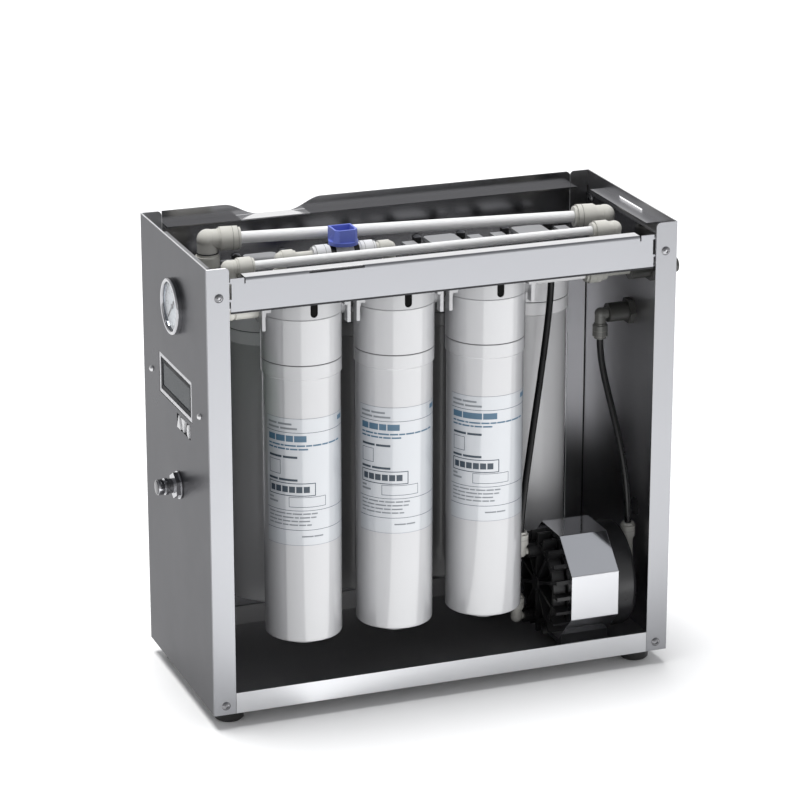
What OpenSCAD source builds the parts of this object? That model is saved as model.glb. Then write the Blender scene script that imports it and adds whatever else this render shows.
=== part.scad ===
/* [Cabinet] */
// Space from the left panel's outer face to the first cartridge axis
left_bay = 118; // [116:1:150]
// Space from the last cartridge axis to the right panel's outer face
right_bay = 93; // [92:1:130]
// Distance from the front face to the front row of cartridges
front_margin = 54; // [53:1:80]
// Distance from the rear row of cartridges to the back face
back_margin = 54; // [48:1:80]
// Height of the space above the head bracket
top_space = 49; // [48:1:70]
// Thickness of the stainless sheet
sheet_t = 1.5; // [1:0.1:2]
// Gap left between folded sheets and pieces fitted to them
seam = 0.3; // [0.2:0.05:0.4]
// Width of the front flange of each side panel
flange_w = 24; // [20:1:28]
// Width of the rear return of each side panel
return_w = 23; // [18:1:30]
// Radius of the rounded flange corners
flange_r = 5; // [2:0.5:8]
// Height of the upstands of the base pan
pan_h = 22.8; // [18:0.2:28]
// Drop from the top edge to the ledge that carries the top cover
ledge_drop = 12.7; // [10:0.1:14]
// Depth of that ledge on the side panels
ledge_side = 15; // [10:0.5:17]
// Setback of the side ledges from the front and back
ledge_inset = 42; // [30:1:60]
// Depth of that ledge on the back panel
ledge_back = 18.5; // [14:0.5:20]
// Length of the cover hook slots
slot_len = 60; // [40:1:80]
// Height of the hand notch's cut into the back panel
notch_depth = 12.7; // [6:0.1:14]
// Width of the flat bottom of the hand notch
notch_flat = 35; // [20:1:60]
// Run of each curved side of the hand notch
notch_ramp = 38; // [20:1:50]
// Distance of the notch's centre from the left panel
notch_x = 148; // [120:1:300]

/* [Front rail] */
// Height of the rail across the top of the front
rail_h = 37; // [30:0.5:40]
// Depth of the rail's folded top lip
rail_lip = 15.5; // [10:0.5:18]
// Setback of the lip's ends from the side panels
lip_inset = 42; // [32:1:60]
// Outside radius of the bend between the rail and its lip
rail_bend = 3.2; // [2:0.1:4]

/* [Feet and screws] */
// Diameter of a rubber foot
foot_d = 33.5; // [22:0.5:36]
// Height of a rubber foot
foot_h = 16.5; // [8:0.5:25]
// Inset of the feet from the side panels
foot_inset_x = 25; // [20:1:50]
// Inset of the feet from the front and back
foot_inset_y = 30; // [20:1:50]
// Head diameter of a cabinet screw
screw_head_d = 9.5; // [6:0.5:10]
// Head height of a cabinet screw
screw_head_h = 2.8; // [1.5:0.1:3]
// Shank diameter of a cabinet screw
screw_d = 4; // [3:0.5:4.5]

/* [Cartridges] */
// Distance between neighbouring cartridge axes
head_pitch = 103; // [101:0.5:115]
// Distance between the front and rear rows
row_gap = 124; // [122:1:140]
// Diameter of a cartridge body
cart_d = 82.4; // [74:0.2:83.6]
// Diameter of a cartridge's upper sleeve
sleeve_d = 85.2; // [84:0.2:86]
// Length of a cartridge from its bottom boss to its top
cart_len = 367.2; // [340:0.1:400]
// Length of a cartridge's upper sleeve
sleeve_len = 64; // [50:0.5:80]
// Distance of the welded seam below the top of the sleeve
seam_drop = 50; // [30:0.5:60]
// Space between the bottom boss and the underside of the base pan
cart_clear = 51.5; // [45:0.5:80]
// Diameter of the bottom boss
boss_d = 35; // [20:1:50]
// Height of the bottom boss
boss_h = 11; // [4:0.5:14]
// Radius of the rounded bottom edge
bottom_r = 2; // [1:0.5:10]
// Diameter of the neck socket in the top of a cartridge
socket_d = 44.6; // [30:0.2:60]
// Depth of the neck socket
socket_depth = 21.6; // [15:0.2:30]

/* [Heads] */
// Diameter of a head's skirt
head_d = 86; // [85:0.2:88]
// Height of a head under the bracket
head_h = 16.7; // [16:0.1:20]
// Running gap between a head and its cartridge
head_gap = 0.3; // [0.2:0.05:0.5]
// Height of the port axis above the head's lower edge
port_rise = 3.5; // [2:0.1:4]
// Diameter of a port boss
port_d = 25; // [22:0.5:25]
// Reach of a port boss past the skirt
port_reach = 4.4; // [3:0.1:4.6]
// Length of a latch arm below the bracket
arm_len = 31; // [24:0.5:36]
// Thickness of a latch arm
arm_t = 3.6; // [2.5:0.1:4]
// Head diameter of a head's screw
head_screw_d = 11; // [8:0.5:12]
// Thickness of the bracket plate
bracket_t = 2; // [1.5:0.1:2.5]
// Setback of the bracket plate from the front face
bracket_front = 19; // [19:0.5:24]
// Spread of the two screws of a head
head_screw_span = 51.6; // [49:0.2:53]
// Offset of a head's screws behind its axis
head_screw_back = 11.4; // [10.4:0.2:18]

/* [Tubes and fittings] */
// Outside diameter of the large tube
tube_l = 12.7; // [12:0.1:13]
// Outside diameter of the medium tube
tube_m = 9.5; // [8:0.1:10]
// Outside diameter of the small tube
tube_s = 6.35; // [6:0.05:7]
// Clearance of a tube in its fitting, on the radius
tube_fit = 0.1; // [0.05:0.01:0.15]
// Height of the large tube above the bracket
large_rise = 28; // [27:0.5:32]
// Height of the medium tube above the bracket
medium_rise = 32; // [30:0.5:36]
// Height of the shut-off valve's axis above the bracket
valve_rise = 17.5; // [15:0.5:20]
// Distance of the wall ports and of the panel knob outside the side panels
side_reach = 25.5; // [24:0.5:40]
// Height of the lower wall port above the underside of the base pan
lower_port_z = 359; // [300:1:370]
// Distance of the lower wall port from the front face
lower_port_y = 107; // [90:1:125]

/* [Shut-off valve] */
// Distance of the valve's centre from the left panel
valve_x = 188; // [182:1:190]
// Length of the valve between its collet ends
valve_len = 70; // [60:1:70]
// Width of the square handle
handle_w = 25.5; // [22:0.5:28]
// Height of the handle
handle_h = 17.5; // [12:0.5:20]

/* [Gauge] */
// Distance of the gauge axis from the front face
gauge_y = 114; // [100:1:130]
// Height of the gauge axis above the underside of the base pan
gauge_z = 417; // [405:1:420]
// Diameter of the gauge bezel
gauge_d = 60; // [56:1:68]
// Projection of the bezel from the panel
gauge_out = 6.5; // [6:0.1:10]
// Depth of the case behind the panel
gauge_in = 24; // [18:1:30]

/* [Display and keys] */
// Distance of the display's centre from the front face
display_y = 117; // [110:1:122]
// Height of the display's centre above the underside of the base pan
display_z = 327.7; // [315:0.1:335]
// Width of the display window
display_w = 116; // [100:1:120]
// Height of the display window
display_h = 45; // [38:0.5:46]
// Width of the display frame's rim
frame_w = 4; // [2:0.5:5]
// Distance between the two display screws
display_screw_span = 171; // [160:1:174]
// Distance of the middle key from the front end of the display window
key_in = 30.5; // [27:0.5:35]
// Height of the keys above the underside of the base pan
key_z = 292.8; // [284:0.1:294]
// Distance between keys
key_pitch = 16; // [15.5:0.1:18]
// Width and height of a key
key_w = 14.6; // [12:0.1:15]
// Travel of a key
key_travel = 1.2; // [0.8:0.1:1.5]

/* [Needle valve] */
// Distance of the needle valve from the front face
needle_y = 110; // [90:1:130]
// Height of the needle valve above the underside of the base pan
needle_z = 221; // [180:1:250]
// Diameter of the needle valve's threaded body
needle_d = 16; // [12:0.5:18]
// Width of the panel nut across its flats
needle_nut = 25; // [24:0.5:30]
// Diameter of the knob
knob_d = 16.5; // [16:0.5:24]

/* [Pump] */
// Width of the eight-sided shell across its flats
shell_w = 121; // [116:0.5:122]
// Length of the shell
shell_len = 55.5; // [50:0.5:56]
// Distance of the shell's left end from the third cartridge axis
pump_offset = 86; // [84:0.5:88]
// Distance of the pump axis from the front face
pump_y = 69.7; // [69:0.1:70.2]
// Space between the base pan and the shell
pump_clear = 8.5; // [7:0.5:12]
// Diameter of the end bell over the shell's width
bell_over = -4; // [-6:0.5:6]
// Length of the end bell
bell_len = 24; // [18:0.5:25]
// Diameter of the ribbed pump head
ribbed_d = 115; // [104:0.5:118]
// Length of the ribbed pump head
ribbed_len = 18; // [14:0.5:18]
// Number of ribs on the pump head
rib_count = 20; // [10:2:24]
// Diameter of the motor shaft
shaft_d = 12; // [8:0.5:14]
// Running clearance of the shaft, on the radius
shaft_fit = 0.05; // [0.03:0.01:0.08]

/* [Hidden] */
$fn = 96;
cab_w = left_bay + 3 * head_pitch + right_bay;
cab_d = front_margin + row_gap + back_margin;
rear_y = front_margin + row_gap;
cart_top = cart_clear + cart_len;
head_z = cart_top + head_gap;
port_z = head_z + port_rise;
bracket_z = head_z + head_h + seam + bracket_t;
cab_h = bracket_z + top_space;
ledge_z = cab_h - ledge_drop;
rail_y = sheet_t + seam;
rail_z = ledge_z - rail_h;
port_end = head_d / 2 + port_reach;
port_in = port_reach - 0.4;
screw_x = flange_w / 2 + 0.9;
screw_low = pan_h / 2 - 1.4;
screw_high = rail_z + rail_h / 2;
back_screw = 150;

// Inner face of the left panel and of the right panel
wall_l = sheet_t;
wall_r = cab_w - sheet_t;
// Bracket ends and the room cut for the gauge case
bracket_x = wall_l + seam;
bracket_l = cab_w - 2 * bracket_x;
bracket_d = cab_d - sheet_t - seam - bracket_front;
gauge_room = gauge_d + 8;
bracket_flange = 24;
stud_z = bracket_z + 19;
stud_rows = [bracket_front + 10, cab_d - 16];

// Push-fit sizes: body radius, collet radius, collet length, insertion depth
fit_l = [10.8, 13, 22, 17];
fit_m = [8, 10, 17, 14];
fit_s = [6.2, 8.3, 15, 11];
collet_lip = 3;

// Large line
large_z = bracket_z + large_rise;
large_x1 = 57;
large_x2 = cab_w - 30;
large_y2 = 121;
large_leg = 35;
large_drop = 14.2;
large_turn = atan2(large_y2 - rear_y, large_x2 - large_x1);
large_span = norm([large_x2 - large_x1, large_y2 - rear_y]);
// Medium line
medium_z = bracket_z + medium_rise;
medium_x1 = 41;
medium_x2 = cab_w - 49;
medium_leg = 26;
medium_drop = 12;
switch_r = 13;
// Feed line
coupling_x = cab_w - 58;
coupling_len = 24;
sleeve_stub = 7;
barrel_r = 10.5;
barrel_in = 22.5;
bulk_nut = 26;
bulk_nut_t = 6.4;
bulk_flange = 15;
bulk_flange_t = 4.6;
port_depth = 20;
inlet_drop = 28;
inlet_leg = 8;
inlet_x = wall_r - seam - bulk_nut_t - barrel_in - inlet_leg;
// Shut-off valve line
valve_y = 118;
valve_z = bracket_z + valve_rise;
valve_x1 = left_bay;
valve_x2 = valve_x + valve_len / 2 + 17;
valve_leg = 16;
valve_drop = 10;
valve_boss = 8.3;
handle_gap = 0.8;
handle_wall = 2.2;
handle_trim = 4;
handle_foot = 4;
corner_rise = 2;
stem_r = 3.5;
// The port of the second prefilter head that the valve line drops to
link_vec = [valve_x2 - left_bay - head_pitch, valve_y - front_margin];
link_turn = atan2(link_vec[1], link_vec[0]);
link_leg = norm(link_vec) - port_end - seam;
front_leg = rear_y - port_end - seam - valve_y;

// Gauge
gauge_r = gauge_d / 2;
can_r = gauge_r - 2.5;
can_wall = 1.5;
dial_r = can_r - can_wall - 0.3;
lens_t = 2;
dial_t = 0.8;
arbor_r = 1;
movement_r = 7;
// Display stack behind the window
key_y = display_y - display_w / 2 + key_in;
display_back = 3;
board_x = 12;
board_t = 1.6;
relay = [9, 22, 14];
socket_box = [12, 16, 20];
box_inset = 8;
board_w = display_screw_span + 12;
board_z1 = key_z - key_w / 2 - 6;
board_z2 = display_z + display_h / 2 + 4;
dome_d = 7;
dome_h = 3;
dome_r = (dome_d * dome_d / 4 + dome_h * dome_h) / (2 * dome_h);
display_screw_z = 322;
key_out = 0.8;
key_flange = 1.2;
// Needle valve
nut_t = 6.5;
needle_front = 13;
needle_in = 34;
needle_stem = 6;
needle_boss = 9;
needle_port = 6;
needle_port_len = 20;

// Pump
pump_x = left_bay + 2 * head_pitch + pump_offset;
pump_z = sheet_t + pump_clear + shell_w / 2;
shell_flat = shell_w / 2 * tan(22.5);
base_lip = 8.6;
pad_h = 3;
pad_r = 7;
pad_inset = 8;
stator_r = shell_w / 2 - 8.5;
rotor_r = 32;
air_gap = 0.6;
ribbed_x = pump_x - ribbed_len;
bell_d = shell_w + bell_over;
bell_x = pump_x + shell_len + 0.2;
bell_end = bell_x + bell_len;
boss_r = 8;
boss_out = 8;
elbow_gap = 7.5;
pump_top = [ribbed_x - boss_out - elbow_gap, pump_y + 4.3, pump_z + 36.5];
pump_low = [ribbed_x - boss_out - elbow_gap, pump_y + 14.3, pump_z - 43.5];
pump_top_leg = 24;
pump_low_leg = 26;
bell_port = [bell_end + 14, pump_y + 2.3, pump_z + 17.5];
bell_leg = 37.5;

// Black tube routes: start, two steering points, end
feed_route = [
    pump_top + [0, 0, pump_top_leg],
    pump_top + [0, 0, pump_top_leg + 50],
    [left_bay + 3 * head_pitch, valve_y, port_z - 22 - 60],
    [left_bay + 3 * head_pitch, valve_y, port_z - 22]];
return_route = [
    pump_low + [0, 0, pump_low_leg],
    pump_low + [0, 0, pump_low_leg + 60],
    [left_bay + 2 * head_pitch, valve_y, port_z - 22 - 80],
    [left_bay + 2 * head_pitch, valve_y, port_z - 22]];
inlet_route = [
    [inlet_x, lower_port_y, lower_port_z - inlet_drop],
    [inlet_x, lower_port_y, lower_port_z - inlet_drop - 55],
    bell_port + [0, 0, bell_leg + 95],
    bell_port + [0, 0, bell_leg]];
route_rings = 24;
route_sides = 10;

function head_x(i) = left_bay + (i - 1) * head_pitch;

// Every piece is drawn from the cabinet's left, front, bottom corner
module cabinet() { translate([-cab_w / 2, -cab_d / 2, foot_h]) children(); }
// Turns a piece drawn along +Z to lie along +X or along -X
module along_x() { rotate([0, 90, 0]) children(); }
module along_minus_x() { rotate([0, -90, 0]) children(); }
// Draws a profile of Y and Z and runs it along X
module run_x(len) { rotate([90, 0, 90]) linear_extrude(len) children(); }
// Mirrors left-hand sheet work to the right-hand side
module right_hand() { translate([cab_w, 0, 0]) mirror([1, 0, 0]) children(); }

// A strip with its upper inner corner rounded
module rounded_strip(w, h, r) {
    square([w, h - r]);
    square([w - r, h]);
    translate([w - r, h - r]) circle(r);
}

// Side wall with its front flange, rear return and cover ledge
module side_sheet() {
    cube([sheet_t, cab_d, cab_h]);
    translate([0, sheet_t, 0]) rotate([90, 0, 0])
        linear_extrude(sheet_t) rounded_strip(flange_w, cab_h, flange_r);
    translate([0, cab_d, 0]) rotate([90, 0, 0])
        linear_extrude(sheet_t) rounded_strip(return_w, cab_h, flange_r);
    translate([0, ledge_inset, ledge_z])
        cube([sheet_t + ledge_side, cab_d - 2 * ledge_inset, sheet_t]);
}

module flange_holes() {
    for (z = [screw_low, screw_high]) screw_hole(screw_x, -1, z);
    screw_hole(screw_x, cab_d - sheet_t - 1, screw_low);
}

// Clear hole for a cabinet screw through one sheet, along +Y
module screw_hole(x, y, z) {
    translate([x, y, z]) rotate([-90, 0, 0]) cylinder(d = screw_d + 2 * tube_fit, h = sheet_t + 2);
}

module left_panel() {
    color("#77777b") cabinet() difference() {
        side_sheet();
        flange_holes();
        translate([-1, gauge_y, gauge_z]) along_x() cylinder(r = can_r + seam, h = sheet_t + 2);
        translate([-1, display_y - display_w / 2, display_z - display_h / 2])
            cube([sheet_t + 2, display_w, display_h]);
        translate([-1, key_y - key_pitch - key_w / 2 - 0.6, key_z - key_w / 2 - 0.6])
            cube([sheet_t + 2, 2 * key_pitch + key_w + 1.2, key_w + 1.2]);
        for (s = [-1, 1])
            translate([-1, display_y + s * display_screw_span / 2, display_screw_z]) along_x()
                cylinder(d = screw_d + 2 * tube_fit, h = sheet_t + 2);
        translate([-1, needle_y, needle_z]) along_x()
            cylinder(d = needle_d + 2 * tube_fit, h = sheet_t + 2);
    }
}

module right_panel() {
    color("#b4b5b9") cabinet() difference() {
        right_hand() side_sheet();
        right_hand() flange_holes();
        for (p = [[front_margin, port_z], [lower_port_y, lower_port_z]])
            translate([wall_r - 1, p[0], p[1]]) along_x()
                cylinder(r = barrel_r + 2 * tube_fit, h = sheet_t + 2);
        translate([wall_r - 1, cab_d / 2 - slot_len / 2, ledge_z + sheet_t])
            cube([sheet_t + 2, slot_len, 2.6]);
    }
}

// Curve of the hand notch: a cosine ramp each side of a flat
function notch_edge(n) = [for (s = [-1, 1], i = [0:n])
    let (u = s < 0 ? i / n : 1 - i / n)
    [s * (notch_flat / 2 + notch_ramp * (1 - u)), -notch_depth * (1 - cos(180 * u)) / 2]];

module back_panel() {
    x0 = return_w + seam;
    w = cab_w - 2 * x0;
    color("#808085") cabinet() difference() {
        union() {
        translate([x0, cab_d, 0]) rotate([90, 0, 0]) linear_extrude(sheet_t) difference() {
            union() {
                square([w - flange_r, cab_h]);
                translate([0, 0]) square([w, cab_h - flange_r]);
                translate([w - flange_r, cab_h - flange_r]) circle(flange_r);
            }
            translate([notch_x - x0, cab_h]) polygon(concat(
                [[-notch_flat / 2 - notch_ramp, 1]],
                    notch_edge(12), [[notch_flat / 2 + notch_ramp, 1]]));
        }
        translate([x0, cab_d - sheet_t - ledge_back, ledge_z - sheet_t])
            cube([w, ledge_back + sheet_t, sheet_t]);
        }
        for (x = [back_screw, cab_w - back_screw]) screw_hole(x, cab_d - sheet_t - 1, screw_low);
    }
}

module base_pan() {
    x0 = wall_l + seam;
    tab_w = flange_w - x0;
    w = cab_w - 2 * x0;
    y1 = cab_d - sheet_t - seam;
    color("#c8cad0") cabinet() difference() {
        union() {
            translate([x0, rail_y, 0]) cube([w, y1 - rail_y, sheet_t]);
            translate([flange_w + seam, 0, 0])
                cube([cab_w - 2 * flange_w - 2 * seam, rail_y, sheet_t]);
            translate([flange_w + seam, 0, 0])
                cube([cab_w - 2 * flange_w - 2 * seam, sheet_t, pan_h]);
            for (x = [x0, cab_w - x0 - tab_w]) translate([x, rail_y, 0])
                cube([tab_w, sheet_t, pan_h]);
            translate([x0, y1 - sheet_t, 0]) cube([w, sheet_t, pan_h]);
        }
        for (x = [screw_x, cab_w - screw_x]) screw_hole(x, rail_y - 1, screw_low);
        for (x = [screw_x, back_screw, cab_w - back_screw, cab_w - screw_x])
            screw_hole(x, y1 - sheet_t - 1, screw_low);
    }
}

module front_rail() {
    x0 = wall_l + seam;
    w = cab_w - 2 * x0;
    lip_w = cab_w - 2 * lip_inset;
    // Slits that part each end of the rail from the flange: width, height from, height
    slit_h = 16.7;
    slits = [[1.7, rail_z - 1, rail_h - slit_h - 6.4], [2.6, ledge_z - 5 - slit_h, slit_h],
        [1.2, ledge_z - 3.5, 5]];
    color("#c8cad0") cabinet() difference() {
        union() {
            translate([x0, rail_y, rail_z]) cube([w, sheet_t, rail_h - rail_bend]);
            for (x = [x0, cab_w - lip_inset])
                translate([x, rail_y, rail_z]) cube([lip_inset - x0, sheet_t, rail_h]);
            translate([lip_inset, rail_y + rail_bend, ledge_z - sheet_t])
                cube([lip_w, rail_lip - rail_bend, sheet_t]);
            translate([lip_inset, rail_y + rail_bend, ledge_z - rail_bend])
                run_x(lip_w) difference() {
                circle(r = rail_bend);
                circle(r = rail_bend - sheet_t);
                translate([0, -rail_bend - 1]) square(2 * rail_bend + 2);
                translate([-rail_bend - 1, -rail_bend - 1])
                    square([2 * rail_bend + 2, rail_bend + 1]);
            }
            translate([flange_w + 6, rail_y, rail_z])
                cube([cab_w - 2 * flange_w - 12, rail_lip - 3, sheet_t]);
        }
        for (g = slits, x = [flange_w + 0.4, cab_w - flange_w - 0.4 - g[0]])
            translate([x, rail_y - 1, g[1]]) cube([g[0], sheet_t + 2, g[2]]);
        for (x = [lip_inset - 1.4, cab_w - lip_inset])
            translate([x, rail_y - 1, ledge_z - 6]) cube([1.4, sheet_t + 2, 7]);
        translate([lip_inset + 2 * rail_h - 6, rail_y - 1, ledge_z - sheet_t - 1.2])
            cube([slot_len, sheet_t + 2.5, sheet_t + 2]);
        for (x = [screw_x, cab_w - screw_x]) screw_hole(x, rail_y - 1, screw_high);
    }
}

// Places its children at every head, front row then rear row
module at_heads() {
    for (i = [1:3]) translate([head_x(i), front_margin, 0]) children();
    for (i = [1:4]) translate([head_x(i), rear_y, 0]) children();
}

// Places where a line drops through the bracket, with the clear hole's radius
drops = [
    [large_x1, rear_y, fit_l[1] + 1.5], [large_x2, large_y2, fit_l[1] + 1.5],
    [medium_x1, front_margin, fit_m[1] + 1.5],
    [valve_x1, valve_y, fit_s[1] + 1.5], [valve_x2, valve_y, fit_s[1] + 1.5]];

// Sizes of the windows in the bracket for a head's centre boss and port blocks
crown_w = 36;
crown_d = 30;
crown_up = 3;
block_w = 14;
block_x = 38;
window_gap = 1;

module head_bracket() {
    color("#55565a") cabinet() difference() {
        union() {
            translate([bracket_x, bracket_front, bracket_z - bracket_t])
                cube([bracket_l, bracket_d, bracket_t]);
            for (x = [bracket_x, cab_w - bracket_x - bracket_t])
                translate([x, bracket_front, bracket_z - bracket_t])
                    cube([bracket_t, bracket_d, bracket_flange + bracket_t]);
        }
        at_heads() translate([0, 0, bracket_z - bracket_t - 1]) {
            translate([-crown_w / 2 - window_gap, -crown_d / 2 - window_gap, 0])
                cube([crown_w + 2 * window_gap, crown_d + 2 * window_gap, bracket_t + 2]);
            for (s = [-1, 1]) translate([s * block_x - block_w / 2 - window_gap, -block_w / 2
                - window_gap, 0])
                cube([block_w + 2 * window_gap, block_w + 2 * window_gap, bracket_t + 2]);
            for (s = [-1, 1]) translate([s * head_screw_span / 2, head_screw_back, 0])
                cylinder(d = screw_d + 2 * tube_fit, h = bracket_t + 2);
        }
        for (p = drops) translate([p[0], p[1], bracket_z - bracket_t - 1])
            cylinder(r = p[2], h = bracket_t + 2);
        for (x = [bracket_x, cab_w - bracket_x - bracket_t], y = stud_rows)
            translate([x - 1, y, stud_z]) along_x()
                cylinder(d = screw_d + 2 * tube_fit, h = bracket_t + 2);
        translate([0, gauge_y - gauge_room / 2, bracket_z - bracket_t - 1])
            cube([sheet_t + gauge_in + 8, gauge_room, bracket_flange + bracket_t + 2]);
    }
}

// Button head on a shank, drawn along -Z with its seat at zero
module button_screw(shank, d = screw_head_d) {
    h = screw_head_h * d / screw_head_d;
    difference() {
        intersection() {
            cylinder(d = d, h = h);
            translate([0, 0, h - d * 0.6]) sphere(d = d * 1.2);
        }
        translate([0, 0, h / 2]) cylinder(d = d * 0.4, h = h, $fn = 6);
    }
    translate([0, 0, -shank]) cylinder(d = screw_d, h = shank);
}

module cabinet_screws() {
    shank = 2 * sheet_t + seam + 3;
    color("#d0d0d2") cabinet() {
        for (x = [screw_x, cab_w - screw_x], z = [screw_low, screw_high])
            translate([x, 0, z]) rotate([90, 0, 0]) button_screw(shank);
        for (x = [screw_x, back_screw, cab_w - back_screw, cab_w - screw_x])
            translate([x, cab_d, screw_low]) rotate([-90, 0, 0]) button_screw(shank);
        // Nuts on the studs that carry the head bracket
        for (y = stud_rows) {
            translate([bracket_x + bracket_t, y, stud_z]) along_x() button_screw(bracket_t + seam);
            translate([cab_w - bracket_x - bracket_t, y, stud_z]) along_minus_x()
                button_screw(bracket_t + seam);
        }
    }
}

module rubber_feet() {
    color("#1b1b1c") cabinet()
        for (x = [foot_inset_x, cab_w - foot_inset_x], y = [foot_inset_y, cab_d - foot_inset_y])
            translate([x, y, -foot_h]) rotate_extrude()
                polygon([[0, 0], [foot_d / 2 - 3, 0], [foot_d / 2 - 1, 2], [foot_d / 2, foot_h],
                    [0, foot_h]]);
}

// Gauge pieces are drawn on the gauge axis, the panel's outer face at zero, +Z into the cabinet
module gauge_axis() { cabinet() translate([0, gauge_y, gauge_z]) along_x() children(); }

dial_z = -gauge_out + 5;
module gauge_case() {
    color("#2c2c2e") gauge_axis() difference() {
        union() {
            translate([0, 0, dial_z + dial_t]) cylinder(r = can_r, h = gauge_in - dial_z - dial_t);
            translate([0, 0, gauge_in - 1]) cylinder(d = 14, h = 9, $fn = 6);
            translate([0, 0, gauge_in]) cylinder(r = 5, h = 20);
        }
        translate([0, 0, dial_z + dial_t - 1]) difference() {
            cylinder(r = can_r - can_wall, h = gauge_in - dial_z - dial_t - 1);
            cylinder(r = movement_r, h = gauge_in + 6);
            difference() {
                cylinder(r = can_r, h = 3);
                translate([0, 0, -1]) cylinder(r = can_r - 4, h = 5);
            }
        }
        translate([0, 0, dial_z - 1]) cylinder(r = arbor_r + shaft_fit, h = 14);
    }
}

module gauge_bezel() {
    lip = 4.5;
    color("#d6d6d8") gauge_axis() rotate_extrude() difference() {
        union() {
            translate([gauge_r - lip, -gauge_out + 2]) square([lip, gauge_out - 2 - 0.1]);
            translate([gauge_r - lip / 2, -gauge_out + 2]) intersection() {
                circle(r = lip / 2);
                translate([-lip, -2]) square([2 * lip, 4]);
            }
        }
        translate([0, dial_z - lens_t - 0.9]) square([can_r + 0.2, gauge_out]);
    }
}

module gauge_dial() {
    color("#f2f2f0") gauge_axis() translate([0, 0, dial_z]) difference() {
        cylinder(r = can_r, h = dial_t);
        translate([0, 0, -1]) cylinder(r = arbor_r + 0.4, h = dial_t + 2);
    }
}

module gauge_lens() {
    color("#dfe6ea") gauge_axis() translate([0, 0, dial_z - lens_t]) difference() {
        translate([0, 0, -0.6]) cylinder(r = can_r, h = lens_t + 0.5);
        translate([0, 0, 0.3]) cylinder(r = can_r - 2.2, h = lens_t + 1);
    }
}

module gauge_pointer() {
    needle_len = can_r - 6;
    color("#1d1d1f") gauge_axis() translate([0, 0, dial_z - 1]) {
        cylinder(r = 2.6, h = 0.7);
        cylinder(r = arbor_r, h = 12);
        rotate(-45) linear_extrude(0.6) polygon([[-1.1, -9], [1.1, -9], [0.35, needle_len],
            [-0.35, needle_len]]);
    }
}

module display_frame() {
    w = display_w - 2 * seam;
    h = display_h - 2 * seam;
    color("#cfd1d4") cabinet() translate([0.4, display_y, display_z]) difference() {
        union() {
            translate([0, -w / 2, -h / 2]) cube([display_back, w, h]);
            translate([sheet_t - 0.2, -w / 2 - 2, -h / 2 - 1.5])
                cube([display_back - sheet_t + 0.2, w + 4, h + 3]);
        }
        translate([-1, -w / 2 + frame_w, -h / 2 + frame_w])
            cube([display_back + 2, w - 2 * frame_w, h - 2 * frame_w]);
    }
}

mask_w = 5.2;
mask_gap = 0.1;
module display_mask() {
    w = display_w - 2 * seam - 2 * frame_w - 2 * mask_gap;
    h = display_h - 2 * seam - 2 * frame_w - 2 * mask_gap;
    color("#35383a") cabinet() translate([1, display_y, display_z]) difference() {
        translate([0, -w / 2, -h / 2]) cube([display_back, w, h]);
        translate([-1, -w / 2 + mask_w, -h / 2 + mask_w])
            cube([display_back + 2, w - 2 * mask_w, h - 2 * mask_w]);
    }
}

module display_screen() {
    w = display_w - 2 * seam - 2 * frame_w - 2 * mask_w - 4 * mask_gap;
    h = display_h - 2 * seam - 2 * frame_w - 2 * mask_w - 4 * mask_gap;
    color("#8a938f") cabinet() translate([1.6, display_y - w / 2, display_z - h / 2])
        cube([board_x - 1.6, w, h]);
}

module control_board() {
    color("#2f6b45") cabinet() difference() {
        union() {
            translate([board_x, display_y - board_w / 2, board_z1])
                cube([board_t, board_w, board_z2 - board_z1]);
            for (s = [-1, 1]) translate([sheet_t + seam, display_y + s * display_screw_span / 2,
                display_screw_z])
                along_x() cylinder(r = 4, h = board_x - sheet_t - seam);
            for (k = [-1:1]) translate([board_x - 4, key_y + k * key_pitch - 3, key_z - 3])
                cube([4, 6, 6]);
            translate([board_x + board_t, display_y - box_inset - relay[1], board_z1 + box_inset])
                cube(relay);
            translate([board_x + board_t, display_y + box_inset, board_z1 + box_inset])
                cube(socket_box);
        }
        for (s = [-1, 1]) translate([0, display_y + s * display_screw_span / 2, display_screw_z])
            along_x() cylinder(d = screw_d + 2 * tube_fit, h = board_x + 8);
    }
}

module display_screws() {
    color("#d0d0d2") cabinet() for (s = [-1, 1])
        translate([0, display_y + s * display_screw_span / 2, display_screw_z]) along_minus_x() {
            intersection() {
                cylinder(d = dome_d + 2, h = dome_h + 1);
                translate([0, 0, dome_h - dome_r]) sphere(r = dome_r);
            }
            translate([0, 0, -board_x - board_t - 2])
                cylinder(d = screw_d, h = board_x + board_t + 2);
        }
}

// One key: cap through the window, flange behind the panel, stem to its switch
module key(k) {
    color("#d9dadc") cabinet() translate([0, key_y + k * key_pitch, key_z]) {
        translate([-key_out, 0, 0]) run_x(key_out + sheet_t + 1) children();
        translate([sheet_t + 0.5, -key_w / 2 - 0.5, -key_w / 2 - 2])
            cube([key_flange, key_w + 1, key_w + 4]);
        translate([sheet_t + 0.5, 0, 0]) along_x()
            cylinder(r = 2, h = board_x - 4 - sheet_t - 0.5 - key_travel - 0.3);
    }
}
// Outlines of the caps: a triangle, and a half round
module arrow(s) { polygon([[-key_w / 2 + 1, -s * key_w / 2], [0, s * key_w / 2],
    [key_w / 2 - 1, -s * key_w / 2]]); }
module half_round() {
    translate([-key_w / 4, 0]) intersection() {
        circle(d = key_w);
        translate([0, -key_w]) square(2 * key_w);
    }
}
module key_up() { key(1) arrow(1); }
module key_down() { key(0) arrow(-1); }
module key_enter() { key(-1) half_round(); }

// Needle valve pieces lie on the valve axis, panel outer face at zero and +Z out of the cabinet
module needle_axis() { cabinet() translate([0, needle_y, needle_z]) along_minus_x() children(); }

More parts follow.
